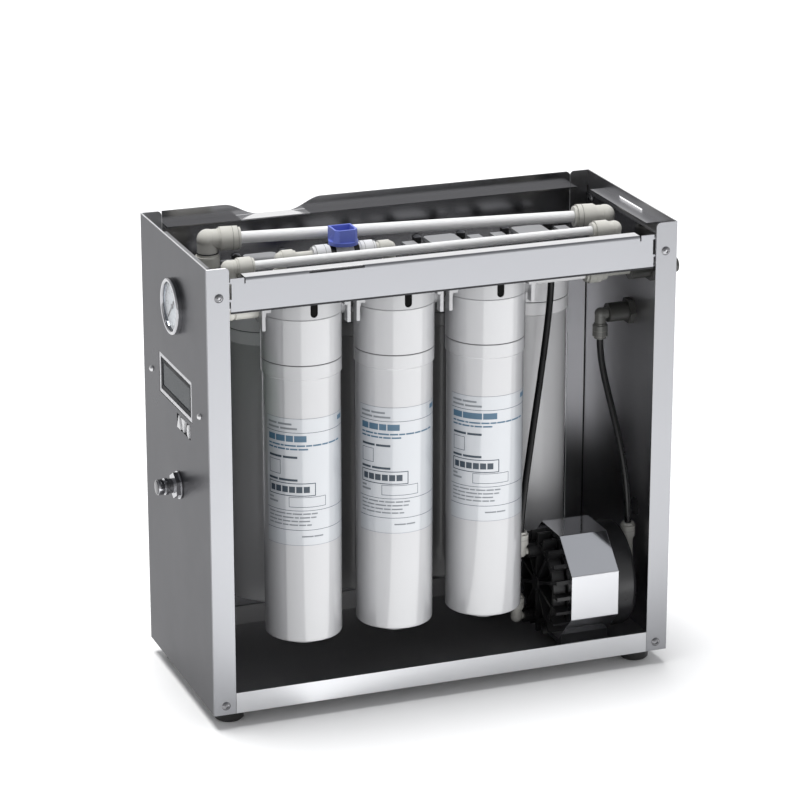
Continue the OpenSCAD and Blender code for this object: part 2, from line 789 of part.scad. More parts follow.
module needle_valve_body() {
    color("#c9cacc") needle_axis() difference() {
        union() {
            translate([0, 0, -sheet_t - 3]) cylinder(d = needle_d, h = sheet_t + 3 + needle_front);
            translate([0, 0, -sheet_t - seam - 10]) cylinder(d = needle_nut, h = 10, $fn = 6);
            translate([0, 0, -needle_in])
                cylinder(r = needle_boss, h = needle_in - sheet_t - seam - 5);
            for (s = [-1, 1]) translate([0, 0, needle_boss - needle_in]) rotate([0, s * 90, 0])
                cylinder(r = needle_port, h = needle_port_len);
        }
        translate([0, 0, -12]) cylinder(r = needle_stem / 2 + shaft_fit, h = 13 + needle_front);
    }
}

module needle_valve_nut() {
    color("#d2d3d5") needle_axis() difference() {
        union() {
            translate([0, 0, seam]) cylinder(d = needle_nut + 5, h = 1.4);
            translate([0, 0, seam + 1.4])
                cylinder(d = needle_nut / cos(30), h = nut_t - 1.4, $fn = 6);
        }
        translate([0, 0, -1]) cylinder(d = needle_d + 2 * tube_fit, h = nut_t + 3);
    }
}

module needle_valve_knob() {
    knob_z = needle_front + seam;
    color("#d2d3d5") needle_axis() {
        rotate_extrude() polygon([[0, knob_z], [knob_d / 2 + 0.8, knob_z],
            [knob_d / 2 + 0.8, knob_z + 3.5],
            [knob_d / 2 - 1.2, knob_z + 3.5], [knob_d / 2 - 1.2, knob_z + 4.7],
                [knob_d / 2, knob_z + 5.2],
            [knob_d / 2, side_reach - 1], [knob_d / 2 - 1, side_reach], [0, side_reach]]);
        translate([0, 0, -11]) cylinder(d = needle_stem, h = 12 + knob_z);
    }
}

// A head, drawn on its axis with its lower edge at zero; turns lists its port directions
module head(turns) {
    skirt_r = head_d / 2;
    spigot_r = socket_d / 2 - head_gap;
    difference() {
        union() {
            cylinder(r = skirt_r, h = head_h);
            translate([0, 0, -socket_depth + head_gap]) cylinder(r = spigot_r, h = socket_depth);
            translate([-crown_w / 2, -crown_d / 2, head_h]) intersection() {
                cube([crown_w, crown_d, seam + bracket_t + crown_up]);
                translate([crown_w / 2, crown_d / 2, -1]) rotate(45)
                    translate([-crown_w * 0.58, -crown_w * 0.58, 0])
                        cube([crown_w * 1.16, crown_w * 1.16, 20]);
            }
            for (s = [-1, 1]) translate([s * block_x - block_w / 2, -block_w / 2, head_h - 4])
                cube([block_w, block_w, 4 + seam + bracket_t + crown_up - 1.5]);
            for (a = turns) rotate(a) translate([0, 0, port_rise]) along_x() intersection() {
                cylinder(d = port_d, h = port_end);
                translate([0, 0, port_end / 2])
                    cube([2 * head_h - 2 * port_rise, port_d, port_end], center = true);
            }
            for (s = [-1, 1]) translate([s * (skirt_r + 1.6 + arm_t / 2) - arm_t / 2, -19, head_h
                - arm_len])
                cube([arm_t, 10, arm_len]);
            for (s = [-1, 1]) translate([s * (skirt_r + 1.6 + arm_t / 2) - arm_t / 2 - s * 3, -19,
                head_h - 12])
                cube([arm_t + 3, 10, 12]);
        }
        for (a = turns) rotate(a) translate([port_end - port_reach, 0, port_rise]) along_x()
            cylinder(r = tube_l / 2 + tube_fit, h = port_reach + 1);
        // Recess under the skirt that clears the cartridge below the ports
        translate([0, 0, -port_d]) difference() {
            cylinder(r = skirt_r - 0.1, h = port_d);
            translate([0, 0, -1]) cylinder(r = spigot_r, h = port_d + 2);
        }
        // Keyway in the front of the skirt
        translate([0, -skirt_r + 3, 6]) rotate([90, 0, 0]) {
            cylinder(d = 8, h = 10);
            translate([-4, 0, 0]) cube([8, head_h, 10]);
        }
        for (s = [-1, 1]) translate([s * head_screw_span / 2, head_screw_back, head_h - 10])
            cylinder(d = screw_d + 2 * tube_fit, h = 20);
    }
}

module prefilter_head(i, turns) { color("#dfe0e1") cabinet()
    translate([head_x(i), front_margin, head_z]) head(turns); }
module membrane_head(i) { color("#dfe0e1") cabinet() translate([head_x(i), rear_y, head_z])
    head([0, 180, 270]); }
module prefilter_head_1() { prefilter_head(1, [0, 180]); }
module prefilter_head_2() { prefilter_head(2, [0, 180, link_turn]); }
module prefilter_head_3() { prefilter_head(3, [0, 180]); }
module membrane_head_1() { membrane_head(1); }
module membrane_head_2() { membrane_head(2); }
module membrane_head_3() { membrane_head(3); }
module membrane_head_4() { membrane_head(4); }

spacer_h = 4.5;
screw_bite = 9;
module head_spacers() {
    color("#19191a") cabinet() at_heads() for (s = [-1, 1])
        translate([s * head_screw_span / 2, head_screw_back, bracket_z]) difference() {
            cylinder(d = head_screw_d - 1, h = spacer_h);
            translate([0, 0, -1]) cylinder(d = screw_d + 2 * tube_fit, h = spacer_h + 2);
        }
}

module head_screws() {
    color("#d0d0d2") cabinet() at_heads() for (s = [-1, 1])
        translate([s * head_screw_span / 2, head_screw_back, bracket_z + spacer_h])
            button_screw(spacer_h + bracket_t + seam + screw_bite, head_screw_d);
}

// Nipples join neighbouring heads, and a plug closes the spare membrane port
module nipple(len) {
    in = port_in;
    translate([-in - len / 2, 0, 0]) along_x() cylinder(d = tube_l, h = len + 2 * in);
    translate([-len / 2 + seam, 0, 0]) along_x() cylinder(d = port_d - 9, h = len - 2 * seam);
}

module port_nipples() {
    len = head_pitch - 2 * port_end;
    color("#202022") cabinet() translate([0, 0, port_z]) {
        for (i = [1:2]) translate([(head_x(i) + head_x(i + 1)) / 2, front_margin, 0]) nipple(len);
        for (i = [1:3]) translate([(head_x(i) + head_x(i + 1)) / 2, rear_y, 0]) nipple(len);
        translate([head_x(2), rear_y - port_end, 0]) rotate([90, 0, 0]) {
            translate([0, 0, -port_in]) cylinder(d = tube_l, h = port_in + 2);
            translate([0, 0, seam]) cylinder(d = port_d - 5, h = 5);
        }
    }
}

// A cartridge: one spin-welded shell, drawn on its axis with its bottom boss at zero
module cartridge() {
    r = cart_d / 2;
    s = sleeve_d / 2;
    sleeve_z = cart_len - sleeve_len;
    groove_z = cart_len - seam_drop;
    difference() {
        rotate_extrude() {
            polygon([[0, 0], [boss_d / 2 - 2, 0], [boss_d / 2, 1.5],
                [boss_d / 2 + 1, boss_h + 0.5], [0, boss_h + 0.5]]);
            translate([0, boss_h]) square([r - bottom_r, bottom_r + 0.5]);
            translate([r - bottom_r, boss_h + bottom_r]) circle(r = bottom_r);
            translate([0, boss_h + bottom_r]) square([r, cart_len - boss_h - bottom_r]);
            polygon([[0, sleeve_z - (s - r)], [r, sleeve_z - (s - r)], [s, sleeve_z], [s, groove_z],
                [s - 0.6, groove_z + 0.3], [s - 0.6, groove_z + 1], [s, groove_z + 1.3],
                    [s, cart_len - 1],
                [s - 1, cart_len], [0, cart_len]]);
        }
        translate([0, 0, cart_len - socket_depth]) cylinder(d = socket_d, h = socket_depth + 1);
    }
}

module prefilter(i) { color("#eceded") cabinet() translate([head_x(i), front_margin, cart_clear])
    cartridge(); }
module membrane(i) { color("#e4e5e6") cabinet() translate([head_x(i), rear_y, cart_clear])
    cartridge(); }
module prefilter_1() { prefilter(1); }
module prefilter_2() { prefilter(2); }
module prefilter_3() { prefilter(3); }
module membrane_1() { membrane(1); }
module membrane_2() { membrane(2); }
module membrane_3() { membrane(3); }
module membrane_4() { membrane(4); }

// Leg of a push-fit fitting along +Z: body, stepped collet, then the bore for the tube
module collet_leg(len, f) {
    cylinder(r = f[0], h = len - f[2] + 1);
    translate([0, 0, len - f[2]]) cylinder(r = f[1], h = f[2] - collet_lip);
    translate([0, 0, len - f[2] - 2]) cylinder(r = f[1] - 1.2, h = 2);
    translate([0, 0, len - collet_lip]) cylinder(r = f[1] - 1.6, h = collet_lip);
}
module plain_leg(len, f) { cylinder(r = f[0], h = len); }
module leg_bore(len, f, d) {
    translate([0, 0, len - f[3]]) cylinder(r = d / 2 + tube_fit, h = f[3] + 1);
}

// Elbow at the origin: each leg is [turn, length, kind], kind 1 a collet, 0 a plain end
module elbow(legs, f, d) {
    difference() {
        union() {
            sphere(r = f[0] * 1.05);
            for (g = legs) rotate(g[0]) if (g[2] == 1) collet_leg(g[1], f); else plain_leg(g[1], f);
        }
        for (g = legs) rotate(g[0]) leg_bore(g[1], f, d);
    }
}
up = [0, 0, 0];
down = [180, 0, 0];
function level(a) = [0, 90, a];

module stem(p, turn, d, len) { translate(p) rotate(turn) cylinder(d = d, h = len); }

low_leg = large_z - large_drop - seam - port_z;
// Stand-off that keeps a large leg clear of the latch arms
port_stand = 1.3;
module large_elbows() {
    x4 = head_x(4) + port_end;
    color("#b5b3aa") cabinet() {
        translate([large_x1, rear_y, large_z])
            elbow([[level(large_turn), large_leg, 1], [down, large_drop, 0]], fit_l, tube_l);
        translate([large_x1, rear_y, port_z])
            elbow([[up, low_leg, 1], [level(0), head_x(1) - port_end - port_stand - large_x1, 0]],
                fit_l, tube_l);
        translate([large_x2, large_y2, large_z])
            elbow([[level(large_turn + 180), large_leg, 1], [down, large_drop, 0]], fit_l, tube_l);
        translate([large_x2, large_y2, port_z])
            elbow([[up, low_leg, 1], [level(90), (rear_y - large_y2) / 2 - 0.1, 1]], fit_l, tube_l);
        translate([large_x2, rear_y, port_z])
            elbow([[level(270), (rear_y - large_y2) / 2 - 0.1, 1],
                [level(180), large_x2 - x4 - port_stand, 0]], fit_l, tube_l);
    }
}

// Hollow tube along +Z from a point
module pipe(p, turn, d, len) {
    translate(p) rotate(turn) difference() {
        cylinder(d = d, h = len);
        translate([0, 0, -1]) cylinder(d = d * 0.66, h = len + 2);
    }
}

module large_tubes() {
    in = fit_l[3] - 1;
    start = [large_x1, rear_y, large_z] + (large_leg - in) * [cos(large_turn), sin(large_turn), 0];
    drop = large_drop < fit_l[3] ? large_drop - 2 : in;
    color("#f0f0f1") cabinet() {
        pipe(start, level(large_turn), tube_l, large_span - 2 * (large_leg - in));
        for (p = [[large_x1, rear_y], [large_x2, large_y2]])
            pipe([p[0], p[1], port_z + low_leg - in], up, tube_l, in + seam + drop);
        pipe([head_x(1) - port_end - port_stand - 10, rear_y, port_z],
            level(0), tube_l, 10 + port_stand + port_in);
        pipe([large_x2, (large_y2 + rear_y) / 2 - in, port_z], level(90), tube_l, 2 * in);
        pipe([head_x(4) + port_end - port_in, rear_y, port_z],
            level(0), tube_l, 10 + port_stand + port_in);
    }
}

medium_low = medium_z - medium_drop - seam - port_z;
module medium_elbows() {
    color("#b5b3aa") cabinet() {
        translate([medium_x1, front_margin, medium_z])
            elbow([[level(0), medium_leg, 1], [down, medium_drop, 0]], fit_m, tube_m);
        translate([medium_x1, front_margin, port_z])
            elbow([[up, medium_low, 1]], fit_m, tube_m);
        translate([medium_x1, front_margin, port_z]) difference() {
            along_x() cylinder(r = fit_m[0], h = head_x(1) - port_end - seam - medium_x1);
            along_x() cylinder(d = tube_l + 2 * tube_fit, h = head_x(1));
            translate([-30, -30, -30]) cube([30 + fit_m[0] * 0.6, 60, 60]);
        }
        translate([medium_x2, front_margin, medium_z])
            elbow([[level(180), medium_leg, 1], [down, medium_drop, 0]], fit_m, tube_m);
    }
}

module medium_tubes() {
    in = fit_m[3] - 1;
    drop = medium_drop - 3;
    span = medium_x2 - medium_x1 - 2 * (medium_leg - in);
    color("#f0f0f1") cabinet() {
        pipe([medium_x1 + medium_leg - in, front_margin, medium_z], level(0), tube_m, span);
        pipe([medium_x1, front_margin, port_z + medium_low - in], up, tube_m, in + seam + drop);
        pipe([medium_x2, front_margin, medium_z - medium_drop - seam - in],
            up, tube_m, in + seam + drop);
        pipe([head_x(1) - port_end - seam - 10, front_margin, port_z],
            level(0), tube_l, 10 + seam + port_in);
    }
}

module pressure_switch() {
    h = medium_rise - medium_drop - seam;
    color("#2a2a2c") cabinet() translate([medium_x2, front_margin, bracket_z]) difference() {
        rotate_extrude() polygon([[0, 0], [switch_r - 1, 0], [switch_r, 1], [switch_r, h - 6],
            [fit_m[1], h - 4], [fit_m[1], h], [0, h]]);
        translate([0, 0, h]) rotate(down) translate([0, 0, -1])
            cylinder(d = tube_m + 2 * tube_fit, h = fit_m[3] + 1);
    }
}

module feed_fittings() {
    x3 = head_x(3) + port_end;
    x_wall = wall_r - seam - bulk_nut_t - barrel_in;
    in = fit_m[3] - 1;
    color("#b5b3aa") cabinet() translate([0, front_margin, port_z]) {
        translate([x3 + seam, 0, 0]) along_x() difference() {
            cylinder(r = fit_m[0], h = sleeve_stub);
            translate([0, 0, 1]) cylinder(r = tube_m / 2 + tube_fit, h = sleeve_stub);
        }
        translate([x3 - port_in, 0, 0]) along_x() cylinder(d = tube_l, h = port_in + 1);
        translate([coupling_x, 0, 0]) difference() {
            rotate(level(180)) collet_leg(coupling_len, fit_m);
            rotate(level(180)) leg_bore(coupling_len, fit_m, tube_m);
        }
        translate([coupling_x - 1, 0, 0]) along_x()
            cylinder(d = tube_m, h = x_wall - coupling_x + 1 + in);
    }
    color("#f0f0f1") cabinet() translate([0, front_margin, port_z])
        pipe([x3 + seam + 2, 0, 0], level(0), tube_m, coupling_x - coupling_len + in - x3 - seam
            - 2);
}

// Bulkhead along +X with the panel's inner face at zero
module bulkhead() {
    inner = seam + bulk_nut_t + barrel_in;
    difference() {
        union() {
            translate([-inner, 0, 0]) along_x() cylinder(r = barrel_r, h = inner + sheet_t + 1);
            translate([sheet_t + seam, 0, 0]) along_x()
                cylinder(r = bulk_flange, h = bulk_flange_t, $fn = 6);
            translate([sheet_t + seam, 0, 0]) along_x()
                cylinder(r = 9.5, h = side_reach - seam - 3);
            translate([sheet_t, 0, 0]) along_x() cylinder(r = 8, h = side_reach);
        }
        translate([-inner - 1, 0, 0]) along_x()
            cylinder(d = tube_m + 2 * tube_fit, h = fit_m[3] + 3);
        translate([-inner, 0, 0]) along_x() cylinder(d = tube_m - 3, h = inner + side_reach);
        translate([sheet_t + side_reach - port_depth, 0, 0]) along_x()
            cylinder(d = tube_m + 2 * tube_fit, h = port_depth + 1);
    }
}

module at_bulkheads() {
    for (p = [[front_margin, port_z], [lower_port_y, lower_port_z]])
        translate([wall_r, p[0], p[1]]) children();
}
module bulkheads() { color("#4a4a44") cabinet() at_bulkheads() bulkhead(); }
module bulkhead_nuts() {
    color("#5a5a54") cabinet() at_bulkheads() translate([-seam - bulk_nut_t, 0, 0])
        along_x() difference() {
        rotate(30) cylinder(d = bulk_nut / cos(30), h = bulk_nut_t, $fn = 6);
        translate([0, 0, -1]) cylinder(r = barrel_r + tube_fit, h = bulk_nut_t + 2);
    }
}

module valve_body() {
    f = fit_m;
    half = valve_len / 2;
    color("#e9e9ea") cabinet() translate([valve_x, valve_y, valve_z]) difference() {
        union() {
            for (a = [0, 180]) rotate(level(a)) collet_leg(half, f);
            cylinder(r = 7.5, h = valve_boss);
            sphere(r = fit_m[0] + 0.25);
        }
        for (a = [0, 180]) rotate(level(a)) leg_bore(half, f, tube_m);
        translate([0, 0, 2]) cylinder(r = stem_r + shaft_fit, h = valve_boss);
    }
}

// Square with its two front corners cut off
module trimmed_square(w, c) {
    h = w / 2;
    polygon([[-h, h], [-h, c - h], [c - h, -h], [h - c, -h], [h, c - h], [h, h]]);
}
module valve_handle() {
    skirt_r = handle_w * 0.62;
    color("#5a6ac0") cabinet() translate([valve_x, valve_y, valve_z + valve_boss + handle_gap]) {
        difference() {
            union() {
                cylinder(r = skirt_r, h = handle_foot);
                translate([0, 0, corner_rise]) linear_extrude(handle_h - corner_rise)
                    trimmed_square(handle_w, handle_trim);
            }
            translate([0, 0, handle_foot]) linear_extrude(handle_h)
                trimmed_square(handle_w - 2 * handle_wall, handle_trim - handle_wall / 2);
        }
        translate([-handle_wall, -handle_w / 2 + 1, 2])
            cube([2 * handle_wall, handle_w - 2, handle_foot + 3]);
        translate([0, 0, -valve_boss + 3]) cylinder(r = stem_r, h = valve_boss);
    }
}

valve_low = valve_z - valve_drop - seam - port_z;
module valve_fittings() {
    in = fit_s[3] - 1;
    tube_in = fit_m[3] - 1;
    color("#b5b3aa") cabinet() {
        translate([valve_x1, valve_y, valve_z]) elbow([[level(0), valve_leg, 1],
            [down, valve_drop, 0]], fit_s, tube_s);
        translate([valve_x2, valve_y, valve_z]) elbow([[level(180), valve_leg, 1],
            [down, valve_drop, 0]], fit_s, tube_s);
        translate([valve_x1, valve_y, port_z]) elbow([[up, valve_low, 1],
            [level(90), front_leg, 0]], fit_s, tube_s);
        translate([valve_x2, valve_y, port_z])
            elbow([[up, valve_low, 1], [level(link_turn + 180), link_leg, 0]], fit_s, tube_s);
    }
    color("#b5b3aa") cabinet() {
        reducer(valve_x1 + valve_leg, valve_x - valve_len / 2, in, tube_in);
        reducer(valve_x2 - valve_leg, valve_x + valve_len / 2, in, tube_in);
        for (x = [valve_x1, valve_x2])
            stem([x, valve_y, port_z + valve_low - in], up, tube_s, in + seam + valve_drop - 3);
        spigot([valve_x1, valve_y, port_z], level(90), front_leg);
        spigot([valve_x2, valve_y, port_z], level(link_turn + 180), link_leg);
    }
}

// Stepped stem between a small collet at one end and a medium collet at the other
module reducer(x_small, x_medium, in_small, in_medium) {
    s = sign(x_medium - x_small);
    translate([x_small - s * in_small, valve_y, valve_z]) rotate([0, s * 90, 0])
        cylinder(d = tube_s, h = in_small + seam + 0.5);
    translate([x_small + s * seam, valve_y, valve_z]) rotate([0, s * 90, 0])
        cylinder(d = tube_m, h = abs(x_medium - x_small) - seam + in_medium);
}

// Stem that joins a small elbow's plain leg to a head's port
module spigot(p, turn, leg) {
    translate(p) rotate(turn) {
        translate([0, 0, leg - 9]) cylinder(d = tube_s, h = 9 + seam + 1);
        translate([0, 0, leg + seam]) cylinder(d = tube_l, h = port_in);
    }
}

feed_elbow_leg = 22;
module small_elbows() {
    boss_in = 8;
    color("#b5b3aa") cabinet() {
        translate([inlet_x, lower_port_y, lower_port_z])
            elbow([[down, inlet_drop, 1], [level(0), inlet_leg - seam, 0]], fit_s, tube_s);
        stem([inlet_x + fit_s[0], lower_port_y, lower_port_z],
            level(0), tube_m, inlet_leg - fit_s[0] + 10);
        for (i = [3, 4]) {
            translate([head_x(i), valve_y, port_z])
                elbow([[down, feed_elbow_leg, 1], [level(90), front_leg, 0]], fit_s, tube_s);
            spigot([head_x(i), valve_y, port_z], level(90), front_leg);
        }
        translate(pump_top) elbow([[up, pump_top_leg, 1]], fit_s, tube_s);
        translate(pump_low) elbow([[up, pump_low_leg, 1]], fit_s, tube_s);
        translate(bell_port) elbow([[up, bell_leg, 1]], fit_s, tube_s);
        stem(pump_top, level(0), 8, elbow_gap + boss_in);
        stem(pump_low, level(0), 8, elbow_gap + boss_in);
        stem(bell_port, level(180), 8, bell_port[0] - bell_end + boss_in);
    }
}

// Point and direction along a four-point curve
function curve(p, t) = pow(1 - t, 3) * p[0] + 3 * t * pow(1 - t, 2) * p[1] + 3 * t * t * (1
    - t) * p[2] + pow(t, 3) * p[3];
function heading(p, t) =
    let (v = 3 * pow(1 - t, 2) * (p[1] - p[0]) + 6 * t * (1 - t) * (p[2] - p[1])
        + 3 * t * t * (p[3] - p[2]))
    v / norm(v);

// Tube of round section swept along a curve, its ends pushed into their collets
module swept_tube(route, d) {
    n = route_rings;
    m = route_sides;
    in = fit_s[3] - 1;
    first = (route[1] - route[0]) / norm(route[1] - route[0]);
    last = (route[3] - route[2]) / norm(route[3] - route[2]);
    centres = concat([route[0] - in * first], [for (i = [0:n]) curve(route, i / n)],
        [route[3] + in * last]);
    ways = concat([first], [for (i = [0:n]) heading(route, i / n)], [last]);
    count = n + 3;
    points = [for (k = [0:count - 1], j = [0:m - 1])
        let (w = ways[k], u = cross(w, [0, 1, 0]) / norm(cross(w, [0, 1, 0])), v = cross(w, u))
        centres[k] + d / 2 * (cos(360 * j / m) * u + sin(360 * j / m) * v)];
    sides = [for (k = [0:count - 2], j = [0:m - 1], h = [0, 1])
        let (a = k * m + j, b = k * m + (j + 1) % m)
        h == 0 ? [a, b, b + m] : [a, b + m, a + m]];
    polyhedron(points, concat(sides, [[for (j = [m - 1:-1:0]) j]],
        [[for (j = [0:m - 1]) (count - 1) * m + j]]));
}

module small_tubes() {
    color("#151516") cabinet() for (r = [feed_route, return_route, inlet_route]) swept_tube(r,
        tube_s);
}

// Pump pieces are drawn on the pump axis along +X
module pump_axis(x) { cabinet() translate([x, pump_y, pump_z]) children(); }
module octagon(w) { rotate(22.5) circle(r = w / 2 / cos(22.5), $fn = 8); }

module motor_shell() {
    color("#d5d6d8") pump_axis(pump_x) run_x(shell_len) difference() {
        octagon(shell_w);
        circle(r = stator_r);
    }
}

module motor_stator() {
    color("#5c5d60") pump_axis(pump_x + 2) run_x(shell_len - 4) difference() {
        circle(r = stator_r - 0.1);
        circle(r = rotor_r + air_gap);
    }
}

module motor_rotor() {
    color("#8b8c90") pump_axis(0) {
        translate([pump_x + 4, 0, 0]) along_x() cylinder(r = rotor_r, h = shell_len - 8);
        translate([pump_x - 9, 0, 0]) along_x() cylinder(d = shaft_d, h = shell_len + 9 + 16);
    }
}

module end_bell() {
    r = bell_d / 2;
    color("#1f1f21") pump_axis(bell_x) difference() {
        along_x() rotate_extrude() difference() {
            polygon([[0, 0], [r, 0], [r, bell_len - 5], [r - 1, bell_len - 2], [r - 5, bell_len],
                [0, bell_len]]);
            translate([0, -1]) square([rotor_r + 2, 4]);
        }
        translate([-1, 0, 0]) along_x() cylinder(d = shaft_d + 2 * shaft_fit, h = 18);
        translate(bell_port - [bell_x, pump_y, pump_z]) rotate(level(180))
            cylinder(d = 8 + 2 * tube_fit, h = bell_port[0] - bell_end + 9);
    }
}

module pump_head() {
    r = ribbed_d / 2;
    plate = 6;
    ring_r = r - 15;
    groove = 11.5;
    rib_t = 4;
    spoke_t = 3.6;
    color("#161617") pump_axis(ribbed_x) difference() {
        union() {
            translate([ribbed_len - plate, 0, 0]) along_x()
                cylinder(r = ring_r + 2, h = plate - 0.6);
            for (i = [0:rib_count - 1]) rotate([i * 360 / rib_count, 0, 0]) {
                translate([2.4, -rib_t / 2, ring_r]) cube([ribbed_len - 2.6, rib_t, r - ring_r]);
                if (i % 2 == 0) translate([1.2, -spoke_t / 2, 7])
                    cube([ribbed_len - plate, spoke_t, ring_r + 1 - 7]);
            }
            translate([3, 0, 0]) along_x() difference() {
                cylinder(r = r - groove, h = ribbed_len - 4);
                translate([0, 0, -1]) cylinder(r = ring_r - 1.5, h = ribbed_len);
            }
            along_x() cylinder(r = 9, h = ribbed_len - 1);
            for (p = [pump_top, pump_low]) translate([-boss_out, p[1] - pump_y, p[2] - pump_z])
                along_x() cylinder(r = boss_r, h = ribbed_len);
        }
        translate([ribbed_len - 10, 0, 0]) along_x() cylinder(d = shaft_d + 2 * shaft_fit, h = 12);
        for (p = [pump_top, pump_low]) translate([-boss_out - 1, p[1] - pump_y, p[2] - pump_z])
            along_x() cylinder(d = 8 + 2 * tube_fit, h = 10);
    }
}

module pump_base() {
    half = shell_flat + base_lip;
    bottom = -shell_w / 2 - pump_clear + pad_h;
    top = -shell_w / 2 - seam / 2;
    color("#1a1a1b") pump_axis(pump_x) {
        run_x(shell_len) polygon([[-half, bottom], [half, bottom], [half, top + base_lip],
            [shell_flat, top], [-shell_flat, top], [-half, top + base_lip]]);
        for (x = [pad_inset, shell_len - pad_inset], y = [pad_inset - half, half - pad_inset])
            translate([x, y, -shell_w / 2 - pump_clear]) cylinder(r = pad_r, h = pad_h + 1);
    }
}

left_panel();
right_panel();
back_panel();
base_pan();
front_rail();
head_bracket();
cabinet_screws();
rubber_feet();
gauge_case();
gauge_bezel();
gauge_dial();
gauge_lens();
gauge_pointer();
display_frame();
display_mask();
display_screen();
control_board();
display_screws();
key_up();
key_down();
key_enter();
needle_valve_body();
needle_valve_nut();
needle_valve_knob();
prefilter_head_1();
prefilter_head_2();
prefilter_head_3();
membrane_head_1();
membrane_head_2();
membrane_head_3();
membrane_head_4();
head_screws();
head_spacers();
port_nipples();
prefilter_1();
prefilter_2();
prefilter_3();
membrane_1();
membrane_2();
membrane_3();
membrane_4();
valve_body();
valve_handle();
valve_fittings();
large_tubes();
large_elbows();
medium_tubes();
medium_elbows();
pressure_switch();
feed_fittings();
bulkheads();
bulkhead_nuts();
small_elbows();
small_tubes();
pump_head();
motor_shell();
motor_stator();
motor_rotor();
end_bell();
pump_base();
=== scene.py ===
import math

import bmesh
import bpy
from mathutils import Matrix, Vector


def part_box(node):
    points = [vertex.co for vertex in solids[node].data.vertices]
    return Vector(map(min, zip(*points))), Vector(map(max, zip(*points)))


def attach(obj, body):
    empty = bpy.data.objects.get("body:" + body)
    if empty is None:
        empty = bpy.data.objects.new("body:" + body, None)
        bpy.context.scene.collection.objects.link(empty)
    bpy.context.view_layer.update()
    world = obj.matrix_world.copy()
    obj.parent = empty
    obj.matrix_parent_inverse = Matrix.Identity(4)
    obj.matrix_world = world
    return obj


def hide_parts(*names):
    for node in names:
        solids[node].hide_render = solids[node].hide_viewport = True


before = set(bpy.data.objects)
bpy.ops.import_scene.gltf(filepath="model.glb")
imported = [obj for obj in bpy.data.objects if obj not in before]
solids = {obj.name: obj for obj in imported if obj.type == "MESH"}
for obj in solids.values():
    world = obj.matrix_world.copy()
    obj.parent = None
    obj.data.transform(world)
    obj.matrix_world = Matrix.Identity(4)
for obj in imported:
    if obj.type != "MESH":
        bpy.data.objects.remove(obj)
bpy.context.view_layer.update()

# All the sheets are one steel; the tones that differ from face to face are painted light and shade.
# Base pan and side, back and front sheets: polished stainless, folded and screwed together.
# The faces that look out of the front are bright, the ones that look inwards mirror the dark inside.
# Each sheet is the solid with its cut edges eased, so that they catch a line of light.
FRONT_PLANE = -0.1122
FACE_ROUGH = 0.42
PANEL_ROUGH, BACK_ROUGH, LEDGE_ROUGH, PAN_ROUGH = 0.3, 0.2, 0.15, 0.5
ROLLED_DEPTH = 0.00008
SMEAR_SCALE = 9
LEFT_GRAIN, RIGHT_GRAIN = (30, 30, 900), (30, 30, 700)
LEVEL_GRAIN, RAIL_GRAIN = (700, 30, 30), (900, 40, 40)
# Nearly all of a noise lies between these two values
NOISE_LOW, NOISE_HIGH = 0.3, 0.7
# Degrees past which an edge between two faces is kept sharp
FLAT, CRISP, SMOOTH = 4, 20, 40


def noise(nt, source, scale, detail=4.0, rough=0.55):
    """Soft random clouds; the scale is in clouds per metre."""
    tex = nt.nodes.new("ShaderNodeTexNoise")
    tex.inputs["Scale"].default_value = scale
    tex.inputs["Detail"].default_value = detail
    tex.inputs["Roughness"].default_value = rough
    nt.links.new(source, tex.inputs["Vector"])
    return tex.outputs["Fac"]


def spread(nt, source, low, high):
    """A noise spread over a range of numbers."""
    ramp = nt.nodes.new("ShaderNodeMapRange")
    ramp.inputs["From Min"].default_value = NOISE_LOW
    ramp.inputs["From Max"].default_value = NOISE_HIGH
    ramp.inputs["To Min"].default_value = low
    ramp.inputs["To Max"].default_value = high
    nt.links.new(source, ramp.inputs["Value"])
    return ramp.outputs["Result"]


def tint(nt, source, dark, light):
    """A noise spread between two colours."""
    ramp = nt.nodes.new("ShaderNodeValToRGB")
    ramp.color_ramp.elements[0].position = NOISE_LOW
    ramp.color_ramp.elements[0].color = (*dark, 1)
    ramp.color_ramp.elements[1].position = NOISE_HIGH
    ramp.color_ramp.elements[1].color = (*light, 1)
    nt.links.new(source, ramp.inputs["Fac"])
    return ramp.outputs["Color"]


def relief(nt, skin, source, strength, depth):
    """Fine unevenness of a surface, too small to be modelled."""
    bump = nt.nodes.new("ShaderNodeBump")
    bump.inputs["Strength"].default_value = strength
    bump.inputs["Distance"].default_value = depth
    nt.links.new(source, bump.inputs["Height"])
    nt.links.new(bump.outputs["Normal"], skin.inputs["Normal"])


def blank(name):
    """A new material with its tree, its surface and the place on the object."""
    made = bpy.data.materials.new(name)
    made.use_nodes = True
    nt = made.node_tree
    skin = nt.nodes["Principled BSDF"]
    place = nt.nodes.new("ShaderNodeTexCoord").outputs["Object"]
    return made, nt, skin, place


def scaled(nt, place, scale):
    """The place on the object, stretched along each axis."""
    turn = nt.nodes.new("ShaderNodeMapping")
    turn.inputs["Scale"].default_value = scale
    nt.links.new(place, turn.inputs["Vector"])
    return turn.outputs["Vector"]


def shades(tone, amount):
    """A darker and a lighter shade of a tone."""
    return tuple(c * (1 - amount) for c in tone), tuple(min(1, c * (1 + amount)) for c in tone)


def zone(nt, place, axis, test, limit):
    """One where the surface lies past a plane, nought elsewhere."""
    split = nt.nodes.new("ShaderNodeSeparateXYZ")
    nt.links.new(place, split.inputs["Vector"])
    past = nt.nodes.new("ShaderNodeMath")
    past.operation = test
    past.inputs[1].default_value = limit
    nt.links.new(split.outputs[axis], past.inputs[0])
    return past.outputs["Value"]


